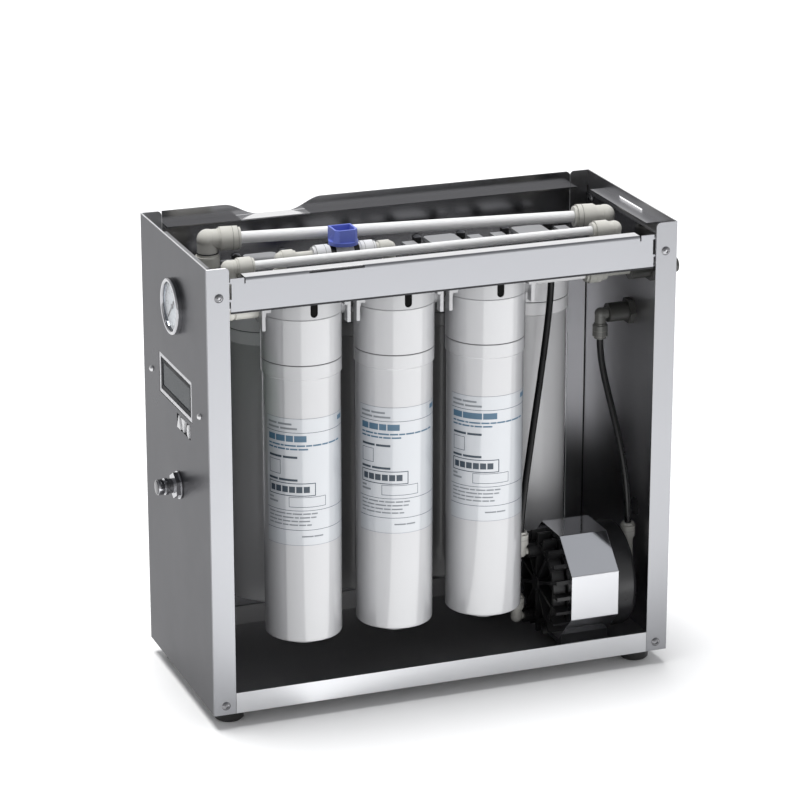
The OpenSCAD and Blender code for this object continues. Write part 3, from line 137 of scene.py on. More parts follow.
def either(nt, mask, base, other, kind="RGBA"):
    """One of two colours or numbers, by a mask."""
    mix = nt.nodes.new("ShaderNodeMix")
    mix.data_type = kind
    nt.links.new(mask, mix.inputs["Factor"])
    nt.links.new(base, mix.inputs["A"])
    nt.links.new(other, mix.inputs["B"])
    return mix.outputs["Result"]


def stainless(name, tone, rough, grain, *patches, scratch=0.05, edge=1.0):
    """Sheet steel with a fine rolled grain, longest along one axis, and faint smears.

    A patch is (axis, test, limit, tone, roughness) for a face with another tone and gloss; on the sheets
    and the pump shell the patches paint light and shade.
    """
    made, nt, skin, place = blank(name)
    skin.inputs["Metallic"].default_value = 1.0
    skin.inputs["Specular Tint"].default_value = (edge, edge, edge, 1)
    smear = noise(nt, place, SMEAR_SCALE, 5)
    colour = tint(nt, smear, *shades(tone, 0.025))
    gloss = spread(nt, smear, rough * 0.9, rough * 1.12)
    for axis, test, limit, other, other_rough in patches:
        mask = zone(nt, place, axis, test, limit)
        colour = either(nt, mask, colour, tint(nt, smear, *shades(other, 0.015)))
        other_gloss = spread(nt, smear, other_rough * 0.95, other_rough * 1.05)
        gloss = either(nt, mask, gloss, other_gloss, "FLOAT")
    nt.links.new(colour, skin.inputs["Base Color"])
    nt.links.new(gloss, skin.inputs["Roughness"])
    relief(nt, skin, noise(nt, scaled(nt, place, grain), 1, 6, 0.65), scratch, ROLLED_DEPTH)
    return made


def piece(name, mesh, material, body="cabinet", replaces=(), smooth=SMOOTH):
    """Puts a finished mesh in the scene, riding on its body."""
    obj = bpy.data.objects.new(name, mesh)
    bpy.context.scene.collection.objects.link(obj)
    if material:
        mesh.materials.clear()
        mesh.materials.append(material)
    mesh.polygons.foreach_set("use_smooth", [True] * len(mesh.polygons))
    mesh.set_sharp_from_angle(angle=math.radians(smooth))
    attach(obj, body)
    if replaces:
        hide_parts(*replaces)
    return obj


def workpiece(data):
    """A passing object that carries modifiers until its mesh is taken."""
    obj = bpy.data.objects.new("work", data)
    bpy.context.scene.collection.objects.link(obj)
    return obj


def applied(obj):
    """The object's mesh with its modifiers worked in, as a new mesh; the object goes."""
    bpy.context.view_layer.update()
    done = obj.evaluated_get(bpy.context.evaluated_depsgraph_get())
    mesh = bpy.data.meshes.new_from_object(done)
    bpy.data.objects.remove(obj)
    return mesh


WELD_GAP = 1e-6
SAME_PLANE = math.radians(0.4)
EASED_EDGE = math.radians(40)


def eased(node, radius, segments=2):
    """A copy of a solid's mesh with its sharp edges rounded."""
    bm = bmesh.new()
    bm.from_mesh(solids[node].data)
    bmesh.ops.remove_doubles(bm, verts=bm.verts, dist=WELD_GAP)
    bmesh.ops.dissolve_limit(bm, angle_limit=SAME_PLANE, verts=bm.verts, edges=bm.edges)
    mesh = bpy.data.meshes.new(node)
    bm.to_mesh(mesh)
    bm.free()
    work = workpiece(mesh)
    bevel = work.modifiers.new("ease", "BEVEL")
    bevel.limit_method = "ANGLE"
    bevel.angle_limit = EASED_EDGE
    bevel.width = radius
    bevel.segments = segments
    bevel.use_clamp_overlap = True
    return applied(work)


# Painted shade: the left panel's outer face has a far darker tone than the same steel elsewhere
LEFT_PANEL_SHADE = (0.107, 0.107, 0.114)
PANEL_EDGE = 0.68
INNER_GREY = (0.40, 0.40, 0.415)
INNER_FACE = -0.2593
PANEL_TOP = 0.5030
FACE_STEEL = (0.30, 0.304, 0.318)
RIGHT_FACE_STEEL = (0.265, 0.268, 0.28)
RAIL_STEEL = (0.295, 0.299, 0.314)
UPSTAND_STEEL = (0.46, 0.465, 0.478)
# Painted highlight along the top edges of the left panel and of the rail
LIP_HIGHLIGHT = (0.93, 0.93, 0.94)
# Painted shade: a dark band along the rail's top bend, just below the lip
BEND_SHADE = (0.10, 0.10, 0.105)
# Painted shade: a dark line along the foot of the rail
RAIL_FOOT_SHADE = (0.03, 0.03, 0.032)
BEND_LEVEL, LIP_LEVEL = 0.4884, 0.4906
FOLD_H = 0.0021
RAIL_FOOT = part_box("front_rail")[0].z + FOLD_H
BACK_STEEL = (0.29, 0.29, 0.30)
# Painted highlight: a bright strip on the back panel's ledge, between the two sill ends
LEDGE_HIGHLIGHT = (0.86, 0.86, 0.87)
LEDGE_LOW, LEDGE_TOP = 0.4890, 0.4911
SILL_LEFT, SILL_RIGHT = -0.154, -0.076
SIDE_STEEL = (0.48, 0.48, 0.495)
# Painted shade on the right panel's back flange
CORNER_SHADE = (0.31, 0.31, 0.32)
CORNER_PLANE = 0.1135
PAN_STEEL = (0.42, 0.42, 0.43)
SHEET_EDGE = 0.0003
front_face = ("Y", "LESS_THAN", FRONT_PLANE, FACE_STEEL, FACE_ROUGH)
sheets = {
    "left_panel": stainless("left_panel_steel", LEFT_PANEL_SHADE, PANEL_ROUGH, LEFT_GRAIN,
                            ("X", "GREATER_THAN", INNER_FACE, INNER_GREY, PANEL_ROUGH), front_face,
                            ("Z", "GREATER_THAN", PANEL_TOP, LIP_HIGHLIGHT, PANEL_ROUGH), edge=PANEL_EDGE),
    "right_panel": stainless("right_panel_steel", SIDE_STEEL, PANEL_ROUGH, RIGHT_GRAIN,
                             ("Y", "GREATER_THAN", CORNER_PLANE, CORNER_SHADE, PANEL_ROUGH),
                             ("Y", "LESS_THAN", FRONT_PLANE, RIGHT_FACE_STEEL, FACE_ROUGH)),
    "back_panel": stainless("back_panel_steel", BACK_STEEL, BACK_ROUGH, LEVEL_GRAIN,
                            ("Z", "GREATER_THAN", LEDGE_LOW, LEDGE_HIGHLIGHT, LEDGE_ROUGH),
                            ("Z", "GREATER_THAN", LEDGE_TOP, BACK_STEEL, BACK_ROUGH),
                            ("X", "LESS_THAN", SILL_LEFT, BACK_STEEL, BACK_ROUGH),
                            ("X", "GREATER_THAN", SILL_RIGHT, BACK_STEEL, BACK_ROUGH)),
    "base_pan": stainless("base_pan_steel", PAN_STEEL, PAN_ROUGH, LEVEL_GRAIN,
                          ("Y", "LESS_THAN", FRONT_PLANE, UPSTAND_STEEL, FACE_ROUGH)),
    "front_rail": stainless("rail_steel", RAIL_STEEL, FACE_ROUGH, RAIL_GRAIN,
                            ("Z", "GREATER_THAN", BEND_LEVEL, BEND_SHADE, PANEL_ROUGH),
                            ("Z", "GREATER_THAN", LIP_LEVEL, LIP_HIGHLIGHT, PANEL_ROUGH),
                            ("Y", "LESS_THAN", FRONT_PLANE, RAIL_STEEL, FACE_ROUGH),
                            ("Z", "LESS_THAN", RAIL_FOOT, RAIL_FOOT_SHADE, FACE_ROUGH)),
}
for node, steel in sheets.items():
    piece("sheet_" + node, eased(node, SHEET_EDGE), steel, replaces=[node], smooth=FLAT)

# Rubber feet: moulded black rubber, one under each corner, screwed up into the base pan.
# The rubber is dull and dusty, with a fine moulded grain.
SKIN_DEPTH = 0.00006
SCATTER = (0.01, 0.01, 0.01)
COAT_ROUGH = 0.06
CLOUD_SCALE = 26


def moulded(name, colour, rough, mottle=0.05, grain=1400, bump=0.04, coat=0.0, coat_ior=1.5, shine=0.5,
            soft=0.0, patch=None):
    """Moulded plastic or rubber: a slightly uneven colour and gloss and a fine skin.

    A patch is (axis, test, limit, colour) for a part that is lighter or darker.
    """
    made, nt, skin, place = blank(name)
    cloud = noise(nt, place, CLOUD_SCALE, 3)
    paint = tint(nt, cloud, *shades(colour, mottle))
    if patch:
        paint = either(nt, zone(nt, place, *patch[:3]), paint, tint(nt, cloud, *shades(patch[3], mottle)))
    nt.links.new(paint, skin.inputs["Base Color"])
    gloss = spread(nt, cloud, rough * (1 - 2 * mottle), rough * (1 + 2 * mottle))
    nt.links.new(gloss, skin.inputs["Roughness"])
    relief(nt, skin, noise(nt, place, grain, 2), bump, SKIN_DEPTH)
    skin.inputs["Specular IOR Level"].default_value = shine
    skin.inputs["Subsurface Weight"].default_value = soft
    skin.inputs["Subsurface Radius"].default_value = SCATTER
    skin.inputs["Subsurface Scale"].default_value = 1.0
    skin.inputs["Coat Weight"].default_value = coat
    skin.inputs["Coat IOR"].default_value = coat_ior
    skin.inputs["Coat Roughness"].default_value = COAT_ROUGH
    return made


def dress(material, *names):
    """Gives carried-over solids their finish."""
    for name in names:
        for held in solids[name].material_slots:
            held.material = material


dress(moulded("foot_rubber", (0.018, 0.018, 0.018),
              rough=0.7, mottle=0.25, grain=900, bump=0.15), "rubber_feet")

# Cabinet screws: stainless button heads with a hexagon socket, turned and polished.
# They hold the flanges to the rail and to the base pan; smaller ones hold the display.
PLATE_DEPTH = 0.00004
PLATE_SCALE, POLISH_SCALE = 2500, 180


def turned_metal(name, tone, rough):
    """Turned or plated metal with a fine skin and a little unevenness in its polish."""
    made, nt, skin, place = blank(name)
    skin.inputs["Metallic"].default_value = 1.0
    cloud = noise(nt, place, POLISH_SCALE, 4)
    nt.links.new(tint(nt, cloud, *shades(tone, 0.08)), skin.inputs["Base Color"])
    nt.links.new(spread(nt, cloud, rough * 0.7, rough * 1.4), skin.inputs["Roughness"])
    relief(nt, skin, noise(nt, place, PLATE_SCALE, 2), 0.05, PLATE_DEPTH)
    return made


# Painted shade: the steel of the cabinet and head screws is darkened
screw_steel = turned_metal("screw_steel", (0.24, 0.24, 0.25), rough=0.12)
dress(screw_steel, "cabinet_screws", "head_screws")
# Painted highlight: the display screws are the same steel, painted lighter
dress(turned_metal("display_screw_highlight_steel", (0.60, 0.60, 0.61), rough=0.15), "display_screws")

# Head bracket: a folded steel plate across the cabinet, which carries all the heads.
# It is polished sheet, dark in the shade of the cabinet, and mirrors the tubes that run above it.
dress(stainless("bracket_steel", (0.26, 0.26, 0.27), rough=0.16, grain=(500, 40, 40)), "head_bracket")

# Heads: moulded pale plastic with latch arms, hung under the bracket by two screws each.
# Black nipples join their ports and black washers sit under the screws.
CARTRIDGES = ["prefilter_%d" % i for i in (1, 2, 3)] + ["membrane_%d" % i for i in (1, 2, 3, 4)]
HEADS = ["prefilter_head_%d" % i for i in (1, 2, 3)] + ["membrane_head_%d" % i for i in (1, 2, 3, 4)]
dress(moulded("head_plastic", (0.35, 0.352, 0.362),
              rough=0.34, mottle=0.006, grain=700, bump=0.02, coat=0.6, coat_ior=1.6), *HEADS)
port_black = moulded("port_black", (0.02, 0.02, 0.021), rough=0.4, mottle=0.2)
dress(port_black, "port_nipples", "head_spacers", "pressure_switch")
KEYWAY_W = 0.0078
KEYWAY_BACK = 0.0400
KEYWAY_FRONT = 0.0422
KEYWAY_ROUND_Z = 0.4415
KEYWAY_TOP = 0.4520
KEYWAY_STEPS = 12


def keyway_insert(bm, axis):
    """A black insert in the slot in the front of a head's skirt: painted shade, standing for the shade deep
    in the slot.
    """
    half = KEYWAY_W / 2
    turns = [math.pi + math.pi * i / KEYWAY_STEPS for i in range(KEYWAY_STEPS + 1)]
    rim = [(half * math.cos(a), KEYWAY_ROUND_Z + half * math.sin(a)) for a in turns]
    rim += [(half, KEYWAY_TOP), (-half, KEYWAY_TOP)]
    back = [bm.verts.new((axis.x + x, axis.y - KEYWAY_BACK, z)) for x, z in rim]
    face = [bm.verts.new((axis.x + x, axis.y - KEYWAY_FRONT, z)) for x, z in rim]
    bm.faces.new(face)
    bm.faces.new(back[::-1])
    for i in range(len(rim)):
        j = (i + 1) % len(rim)
        bm.faces.new((face[i], back[i], back[j], face[j]))


def middle(node):
    """The middle of a solid's box."""
    low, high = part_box(node)
    return (low + high) / 2


def cast(bm, name):
    """A mesh from what was drawn, with its faces turned outwards."""
    bmesh.ops.recalc_face_normals(bm, faces=bm.faces)
    mesh = bpy.data.meshes.new(name)
    bm.to_mesh(mesh)
    bm.free()
    return mesh


slot_shades = bmesh.new()
for cartridge in CARTRIDGES:
    keyway_insert(slot_shades, middle(cartridge))
# Painted shade: a black insert in each head's slot stands for the shade deep inside it
keyway_shade_black = moulded("keyway_shade_black", (0.004, 0.004, 0.004), rough=0.6, mottle=0.2, shine=0.05)
piece("keyway_shade_inserts", cast(slot_shades, "slot_shades"), keyway_shade_black)

# Cartridges: glossy white moulded shells, closed by a spin-welded seam near the top.
# They turn in their heads, so each shell and its printed label ride on the cartridge.
# The rear ones stand in the shade and are duller; the middle two are painted darker as painted shade, all
# four sleeves lighter as painted light.
dress(moulded("shell_white", (0.37, 0.372, 0.383),
              rough=0.3, mottle=0.006, grain=700, bump=0.02, coat=1.0, coat_ior=1.72), *CARTRIDGES[:3])
SLEEVE_FOOT = 0.3716
# Painted shade: the middle two rear cartridges are the same white as the others, painted dark
BODY_TONES = (0.42, 0.13, 0.13, 0.5)
# Painted light: the sleeves of the rear cartridges are painted lighter than their bodies
LIT_SLEEVE_TONES = (0.72, 0.17, 0.17, 0.72)
COOL = 1.02
for node, tone, lit_band in zip(CARTRIDGES[3:], BODY_TONES, LIT_SLEEVE_TONES):
    white = (tone, tone, tone * COOL)
    sleeve = ("Z", "GREATER_THAN", SLEEVE_FOOT, (lit_band, lit_band, lit_band * COOL))
    shell = moulded("white_" + node, white,
                    rough=0.4, mottle=0.006, grain=700, bump=0.02, coat=0.2, coat_ior=1.5, patch=sleeve)
    dress(shell, node)

# Labels: printed film wrapped round the three front cartridges, with a ruled layout of plain bars and
# empty boxes. The film and its ink are curved patches that stand just proud of the shell.
BODY_R = 0.0412
FILM_IN = 0.0410
FILM_UP, INK_UP = 0.00007, 0.00011
INK_R = BODY_R + INK_UP
FILM_LOW, FILM_HIGH = 0.172, 0.312
FILM_START, FILM_END = -79, 176
FLOOR_Z = 0.0165
label_film = moulded("label_film", (0.38, 0.397, 0.421),
                     rough=0.3, mottle=0.006, grain=500, bump=0.02, coat=1.0, coat_ior=1.72)
inks = {
    "grey": moulded("ink_grey", (0.16, 0.175, 0.19), rough=0.45, mottle=0.1),
    "dark": moulded("ink_dark", (0.02, 0.034, 0.05), rough=0.45, mottle=0.1),
    "blue": moulded("ink_blue", (0.045, 0.105, 0.165), rough=0.45, mottle=0.1),
}


def wrapped(bm, axis, radius, a0, a1, z0, z1, step=4):
    """One slip of film round the shell: angles in degrees from the front towards +X, heights in metres."""
    count = max(1, math.ceil((a1 - a0) / step))
    rows = []
    for i in range(count + 1):
        a = math.radians(a0 + (a1 - a0) * i / count)
        rows.append([bm.verts.new((axis.x + r * math.sin(a), axis.y - r * math.cos(a), z + FLOOR_Z))
                     for r, z in ((FILM_IN, z0), (radius, z0), (radius, z1), (FILM_IN, z1))])
    for one, two in zip(rows, rows[1:]):
        for k in range(4):
            bm.faces.new((one[k], two[k], two[(k + 1) % 4], one[(k + 1) % 4]))
    bm.faces.new(rows[0])
    bm.faces.new(rows[-1][::-1])


def outline(bm, axis, a0, a1, z0, z1, pen):
    """A ruled box of four strokes."""
    turn = math.degrees(pen / INK_R)
    wrapped(bm, axis, INK_R, a0, a1, z0, z0 + pen)
    wrapped(bm, axis, INK_R, a0, a1, z1 - pen, z1)
    wrapped(bm, axis, INK_R, a0, a0 + turn, z0 + pen, z1 - pen)
    wrapped(bm, axis, INK_R, a1 - turn, a1, z0 + pen, z1 - pen)


def words(bm, axis, a0, widths, z, tall, gap):
    """A line of plain bars in place of words: widths and gap in degrees."""
    for w in widths:
        wrapped(bm, axis, INK_R, a0, a0 + w, z, z + tall)
        a0 += w + gap


# Each line of bars: ink, first angle, widths, height above the cabinet's floor, bar height, gap
LINES = [
    ("grey", -75, (17, 22), 0.3046, 0.0021, 2.2),
    ("grey", -75, (21, 26), 0.2998, 0.0021, 2.2),
    ("blue", 44, (14,), 0.3035, 0.0050, 2.2),
    ("blue", -74, (6, 14, 5, 17, 12, 9, 13, 10, 15, 8), 0.2815, 0.0017, 1.4),
    ("blue", -74, (9, 6, 12, 5, 11, 14), 0.2776, 0.0017, 1.4),
    ("dark", -73, (23, 22), 0.2683, 0.0024, 2.2),
    ("dark", -74, (17, 29), 0.2432, 0.0024, 2.2),
    ("dark", -70, (8, 9, 9, 9, 9, 9), 0.2306, 0.0068, 1.8),
    ("grey", -74, (9,), 0.2222, 0.0021, 2.2),
    ("grey", -74, (17,), 0.2180, 0.0021, 2.2),
    ("grey", -74, (12, 16, 8, 14, 11, 9), 0.2064, 0.0015, 1.5),
    ("grey", -74, (9, 13, 17, 6, 15, 8), 0.2023, 0.0015, 1.5),
    ("grey", -74, (15, 7, 12, 10, 16), 0.1982, 0.0015, 1.5),
    ("grey", -74, (8, 14, 9, 13, 10, 7), 0.1941, 0.0015, 1.5),
    ("grey", -20, (17, 14), 0.1812, 0.0015, 1.2),
]
# Each box: first and last angle, foot, top, pen
BOXES = [
    (-73, -52, 0.2500, 0.2655, 0.0005),
    (-74, 1, 0.2268, 0.2412, 0.0009),
    (-39, 17, 0.2145, 0.2258, 0.0005),
]
# Each rule across the film: ink, foot, pen
EDGE_PEN = 0.0004
RULES = [
    ("dark", 0.2962, 0.0005),
    ("dark", 0.2105, 0.0005),
    ("dark", 0.1889, 0.0005),
    ("grey", FILM_LOW, EDGE_PEN),
    ("grey", FILM_HIGH - EDGE_PEN, EDGE_PEN),
]
TITLE_START, TITLE_Z, TITLE_H, TITLE_GAP = -74, 0.2865, 0.0068, 1.6
TITLES = {1: (13, 15, 11, 18), 2: (13, 15, 11, 18), 3: (17, 30, 21)}
for number, title in TITLES.items():
    node = "prefilter_%d" % number
    axis = middle(node)
    film = bmesh.new()
    wrapped(film, axis, BODY_R + FILM_UP, FILM_START, FILM_END, FILM_LOW, FILM_HIGH)
    piece("label_film_%d" % number, cast(film, "film"), label_film, node)
    drawn = {ink: bmesh.new() for ink in inks}
    for ink, *line in LINES + [("blue", TITLE_START, title, TITLE_Z, TITLE_H, TITLE_GAP)]:
        words(drawn[ink], axis, *line)
    for box in BOXES:
        outline(drawn["dark"], axis, *box)
    for ink, z, pen in RULES:
        wrapped(drawn[ink], axis, INK_R, FILM_START, FILM_END, z, z + pen)
    for ink, colour in inks.items():
        piece("label_%s_%d" % (ink, number), cast(drawn[ink], ink), colour, node)

# Push-fit elbows, couplings and reducers: warm grey moulded acetal with stepped collets.
# Dark bulkheads pass through the right panel and are held by nuts inside.
ACETAL = (0.56, 0.55, 0.51)
SMALL_ACETAL = (0.46, 0.455, 0.425)
# Painted shade: the feed line behind the rail, white tube and grey fittings alike, is darker than the same
# plastics elsewhere
FEED_TUBE_SHADE = (0.40, 0.40, 0.405)
FEED_TUBE_END = 0.177
SHADED_GREY = (0.20, 0.20, 0.185)
# Painted shade on the small elbows above the wall port's foot
WALL_PORT_SHADE = (0.085, 0.085, 0.079)
WALL_PORT_FOOT = 0.30
BLEND_SCALE, BLEND_SHINE = 60, 0.25
acetal_grey = moulded("acetal_grey", ACETAL, rough=0.4, mottle=0.03, soft=0.3)
dress(acetal_grey, "large_elbows", "medium_elbows", "valve_fittings")
dress(moulded("small_elbow_grey", SMALL_ACETAL, rough=0.4, mottle=0.03, soft=0.3,
              patch=("Z", "GREATER_THAN", WALL_PORT_FOOT, WALL_PORT_SHADE)), "small_elbows")


def two_tone(name, left, right, limit, rough):
    """Plastic that is one colour to the left of an upright plane and another to its right."""
    made, nt, skin, place = blank(name)
    cloud = noise(nt, place, BLEND_SCALE, 3)
    mask = zone(nt, place, "X", "GREATER_THAN", limit)
    colour = either(nt, mask, tint(nt, cloud, *shades(left, 0.04)), tint(nt, cloud, *shades(right, 0.08)))
    nt.links.new(colour, skin.inputs["Base Color"])
    nt.links.new(spread(nt, cloud, rough * 0.9, rough * 1.1), skin.inputs["Roughness"])
    skin.inputs["Specular IOR Level"].default_value = BLEND_SHINE
    return made


dress(two_tone("feed_line", FEED_TUBE_SHADE, SHADED_GREY, FEED_TUBE_END, rough=0.35), "feed_fittings")
dress(moulded("bulkhead_plastic", (0.03, 0.03, 0.027),
              rough=0.42, mottle=0.1), "bulkheads", "bulkhead_nuts")

# Seal rings: black rings that show as dark lines where a stem enters a fitting.
# One tree sets a ring on each marked point, turned to the point's aim and scaled to its size.
RING_SIDES, SECTION_SIDES = 48, 10


def node_tree(name, **sizes):
    """A geometry tree with its sizes as inputs, and the identifiers by which they are set."""
    tree = bpy.data.node_groups.new(name, "GeometryNodeTree")
    tree.interface.new_socket("Geometry", in_out="INPUT", socket_type="NodeSocketGeometry")
    keys = {}
    for label, value in sizes.items():
        kind = "NodeSocketInt" if isinstance(value, int) else "NodeSocketFloat"
        made = tree.interface.new_socket(label, in_out="INPUT", socket_type=kind)
        made.default_value = value
        keys[label] = made.identifier
    tree.interface.new_socket("Geometry", in_out="OUTPUT", socket_type="NodeSocketGeometry")
    return tree, keys


def hand_out(tree, made, material):
    """Ends a tree: what it made becomes one painted mesh."""
    n, ln = tree.nodes, tree.links
    real = n.new("GeometryNodeRealizeInstances")
    ln.new(made, real.inputs["Geometry"])
    paint = n.new("GeometryNodeSetMaterial")
    paint.inputs["Material"].default_value = material
    ln.new(real.outputs["Geometry"], paint.inputs["Geometry"])
    ln.new(paint.outputs["Geometry"], n.new("NodeGroupOutput").inputs["Geometry"])


def grown(mesh, tree, keys, **sizes):
    """The mesh that a tree makes out of another one, with its inputs set."""
    work = workpiece(mesh)
    mod = work.modifiers.new("tree", "NODES")
    mod.node_group = tree
    for label, value in sizes.items():
        mod[keys[label]] = value
    return applied(work)


def ring_tree(name, material):
    """A ring on each point of a mesh; its thickness, as a share of its radius, is an input."""
    tree, keys = node_tree(name, Thickness=0.05)
    n, ln = tree.nodes, tree.links
    given = n.new("NodeGroupInput")
    path = n.new("GeometryNodeCurvePrimitiveCircle")
    path.inputs["Resolution"].default_value = RING_SIDES
    path.inputs["Radius"].default_value = 1.0
    section = n.new("GeometryNodeCurvePrimitiveCircle")
    section.inputs["Resolution"].default_value = SECTION_SIDES
    ln.new(given.outputs["Thickness"], section.inputs["Radius"])
    ring = n.new("GeometryNodeCurveToMesh")
    ln.new(path.outputs["Curve"], ring.inputs["Curve"])
    ln.new(section.outputs["Curve"], ring.inputs["Profile Curve"])
    aim = n.new("GeometryNodeInputNamedAttribute")
    aim.data_type = "FLOAT_VECTOR"
    aim.inputs["Name"].default_value = "aim"
    size = n.new("GeometryNodeInputNamedAttribute")
    size.data_type = "FLOAT"
    size.inputs["Name"].default_value = "size"
    turn = n.new("FunctionNodeAlignRotationToVector")
    turn.axis = "Z"
    ln.new(aim.outputs["Attribute"], turn.inputs["Vector"])
    put = n.new("GeometryNodeInstanceOnPoints")
    ln.new(given.outputs["Geometry"], put.inputs["Points"])
    ln.new(ring.outputs["Mesh"], put.inputs["Instance"])
    ln.new(turn.outputs["Rotation"], put.inputs["Rotation"])
    ln.new(size.outputs["Attribute"], put.inputs["Scale"])
    hand_out(tree, put.outputs["Instances"], material)
    return tree, keys


def outward(mesh):
    """The mesh with all its faces turned outwards."""
    bm = bmesh.new()
    bm.from_mesh(mesh)
    bmesh.ops.recalc_face_normals(bm, faces=bm.faces)
    bm.to_mesh(mesh)
    bm.free()
    return mesh


def ringed(name, marks, material, thickness, body="cabinet"):
    """Rings on marks of (place, aim, radius)."""
    mesh = bpy.data.meshes.new(name)
    mesh.from_pydata([m[0] for m in marks], [], [])
    for label, kind in (("aim", "FLOAT_VECTOR"), ("size", "FLOAT")):
        mesh.attributes.new(label, kind, "POINT")
    for i, mark in enumerate(marks):
        mesh.attributes["aim"].data[i].vector = mark[1]
        mesh.attributes["size"].data[i].value = mark[2]
    rings = grown(mesh, *ring_tree(name, material), Thickness=thickness)
    return piece(name, outward(rings), None, body)


def at(x, y, z):
    """A place given in millimetres from the cabinet's left, front, bottom corner."""
    return Vector((x - 260, y - 116, z + 16.5)) / 1000


UP = Vector((0, 0, 1))
LARGE_CORNERS = (at(57, 178, 466), at(490, 121, 466))
MEDIUM_CORNERS = (at(41, 54, 470), at(471, 54, 470))
# Each pair of elbows: its corners, how far below them the seals lie, the seals' radius
SEALS = ((LARGE_CORNERS, 0.01435, 0.0112), (MEDIUM_CORNERS, 0.01215, 0.0082))
SEAL_THICK = 0.06
seal_black = moulded("seal_black", (0.012, 0.012, 0.012), rough=0.5, mottle=0.2)
seals = [(corner - drop * UP, UP, radius) for corners, drop, radius in SEALS for corner in corners]
ringed("seal_rings", seals, seal_black, SEAL_THICK)

# Seam lines: the spin-weld leaves a fine groove round each cartridge's sleeve, dark with shade.
# One dark grey ring, painted shade, lies in each groove and turns with its cartridge.
SEAM_Z = 0.38585
SEAM_R = 0.0421
SEAM_THICK = 0.0095
seam_shade_grey = moulded("seam_shade_grey", (0.10, 0.10, 0.105), rough=0.6, mottle=0.1)
for node in CARTRIDGES:
    axis = middle(node)
    seam = [((axis.x, axis.y, SEAM_Z), UP, SEAM_R)]
    ringed("seam_" + node, seam, seam_shade_grey, SEAM_THICK, node)

# Corner beads: black fillets, run down the two back corners where the side panels meet the back.
# Each is a hollow fillet; the right one shows from the front as a dark line.
BEAD_R = 0.0018
BEAD_STEPS = 6
BEAD_FOOT, BEAD_TOP = 0.022, 0.486
CORNER_X, CORNER_Y = 0.2586, 0.1146
bead_points, bead_faces = [], []
for side in (-1, 1):
    first = len(bead_points)
    section = [(CORNER_X, CORNER_Y)]
    for step in range(BEAD_STEPS + 1):
        turn = math.pi / 2 * (1 - step / BEAD_STEPS)
        x = CORNER_X - BEAD_R + BEAD_R * math.cos(turn)
        y = CORNER_Y - BEAD_R + BEAD_R * math.sin(turn)
        section.append((x, y))
    count = len(section)
    for level in (BEAD_FOOT, BEAD_TOP):
        bead_points += [(side * x, y, level) for x, y in section]
    for i in range(count):
        after = (i + 1) % count
        bead_faces.append((first + i, first + after, first + count + after, first + count + i))
    bead_faces += [tuple(range(first, first + count)), tuple(range(first + count, first + 2 * count))]
beads = bpy.data.meshes.new("corner_beads")
beads.from_pydata(bead_points, [], bead_faces)
corner_fill = moulded("corner_fill_black", (0.012, 0.012, 0.012), rough=0.5, mottle=0.1)
piece("corner_beads", outward(beads), corner_fill)

# Collet grooves: each push-fit collet has a thin line below its lip, moulded with the fitting.
# It reads as a shade line; a fine grey ring, painted shade, marks each one.
ALONG = Vector((1, 0, 0))
SLIM_R, STOUT_R = 0.0084, 0.0101
GROOVE_THICK = 0.018
# On the elbows' level arms: distance from the corner, radius
LARGE_GROOVES = ((0.0149, 0.0122), (0.0320, 0.0131), (0.0262, 0.0131))
MEDIUM_GROOVES = ((0.0092, 0.0093), (0.0230, STOUT_R))
# On the lines of the shut-off valve and of the feed, from left to right, in cabinet millimetres
VALVE_Y, VALVE_Z = 118, 455.5
VALVE_GROOVES = ((153, SLIM_R), (156, STOUT_R), (166, STOUT_R),
                 (210, STOUT_R), (220, STOUT_R), (223, SLIM_R))
FEED_Y, FEED_Z = 54, 422.5
FEED_GROOVES = (441.5, 449, 454.8)
# On the upright collets at the ends of the black tubes, in cabinet millimetres
UPRIGHT_GROOVES = ((376.5, 74, 128), (376.5, 74, 122), (376.5, 84, 50), (376.5, 84, 44),
                   (503.7, 72, 122.5), (503.7, 72, 116.5), (481.3, 107, 340), (481.3, 107, 334))
slant = (LARGE_CORNERS[1] - LARGE_CORNERS[0]).normalized()
grooves = []
for corners, way, marks in ((LARGE_CORNERS, slant, LARGE_GROOVES), (MEDIUM_CORNERS, ALONG, MEDIUM_GROOVES)):
    for side, corner in zip((1, -1), corners):
        grooves += [(corner + side * far * way, way, radius) for far, radius in marks]
grooves += [(at(x, VALVE_Y, VALVE_Z), ALONG, radius) for x, radius in VALVE_GROOVES]
grooves += [(at(x, FEED_Y, FEED_Z), ALONG, STOUT_R) for x in FEED_GROOVES]
grooves += [(at(*spot), UP, SLIM_R) for spot in UPRIGHT_GROOVES]
groove_shade_grey = moulded("groove_shade_grey", (0.21, 0.205, 0.19), rough=0.5, mottle=0.1)
ringed("collet_grooves", grooves, groove_shade_grey, GROOVE_THICK)

# White tubes: polyethylene pipes, pushed straight into the elbows at their ends.
# The large one runs aslant above the heads, the medium one level behind the front rail.
TUBE_WHITE = (0.92, 0.92, 0.925)
dress(moulded("tube_white", TUBE_WHITE,
              rough=0.4, mottle=0.02, grain=500, bump=0.03, soft=0.6), "large_tubes", "medium_tubes")

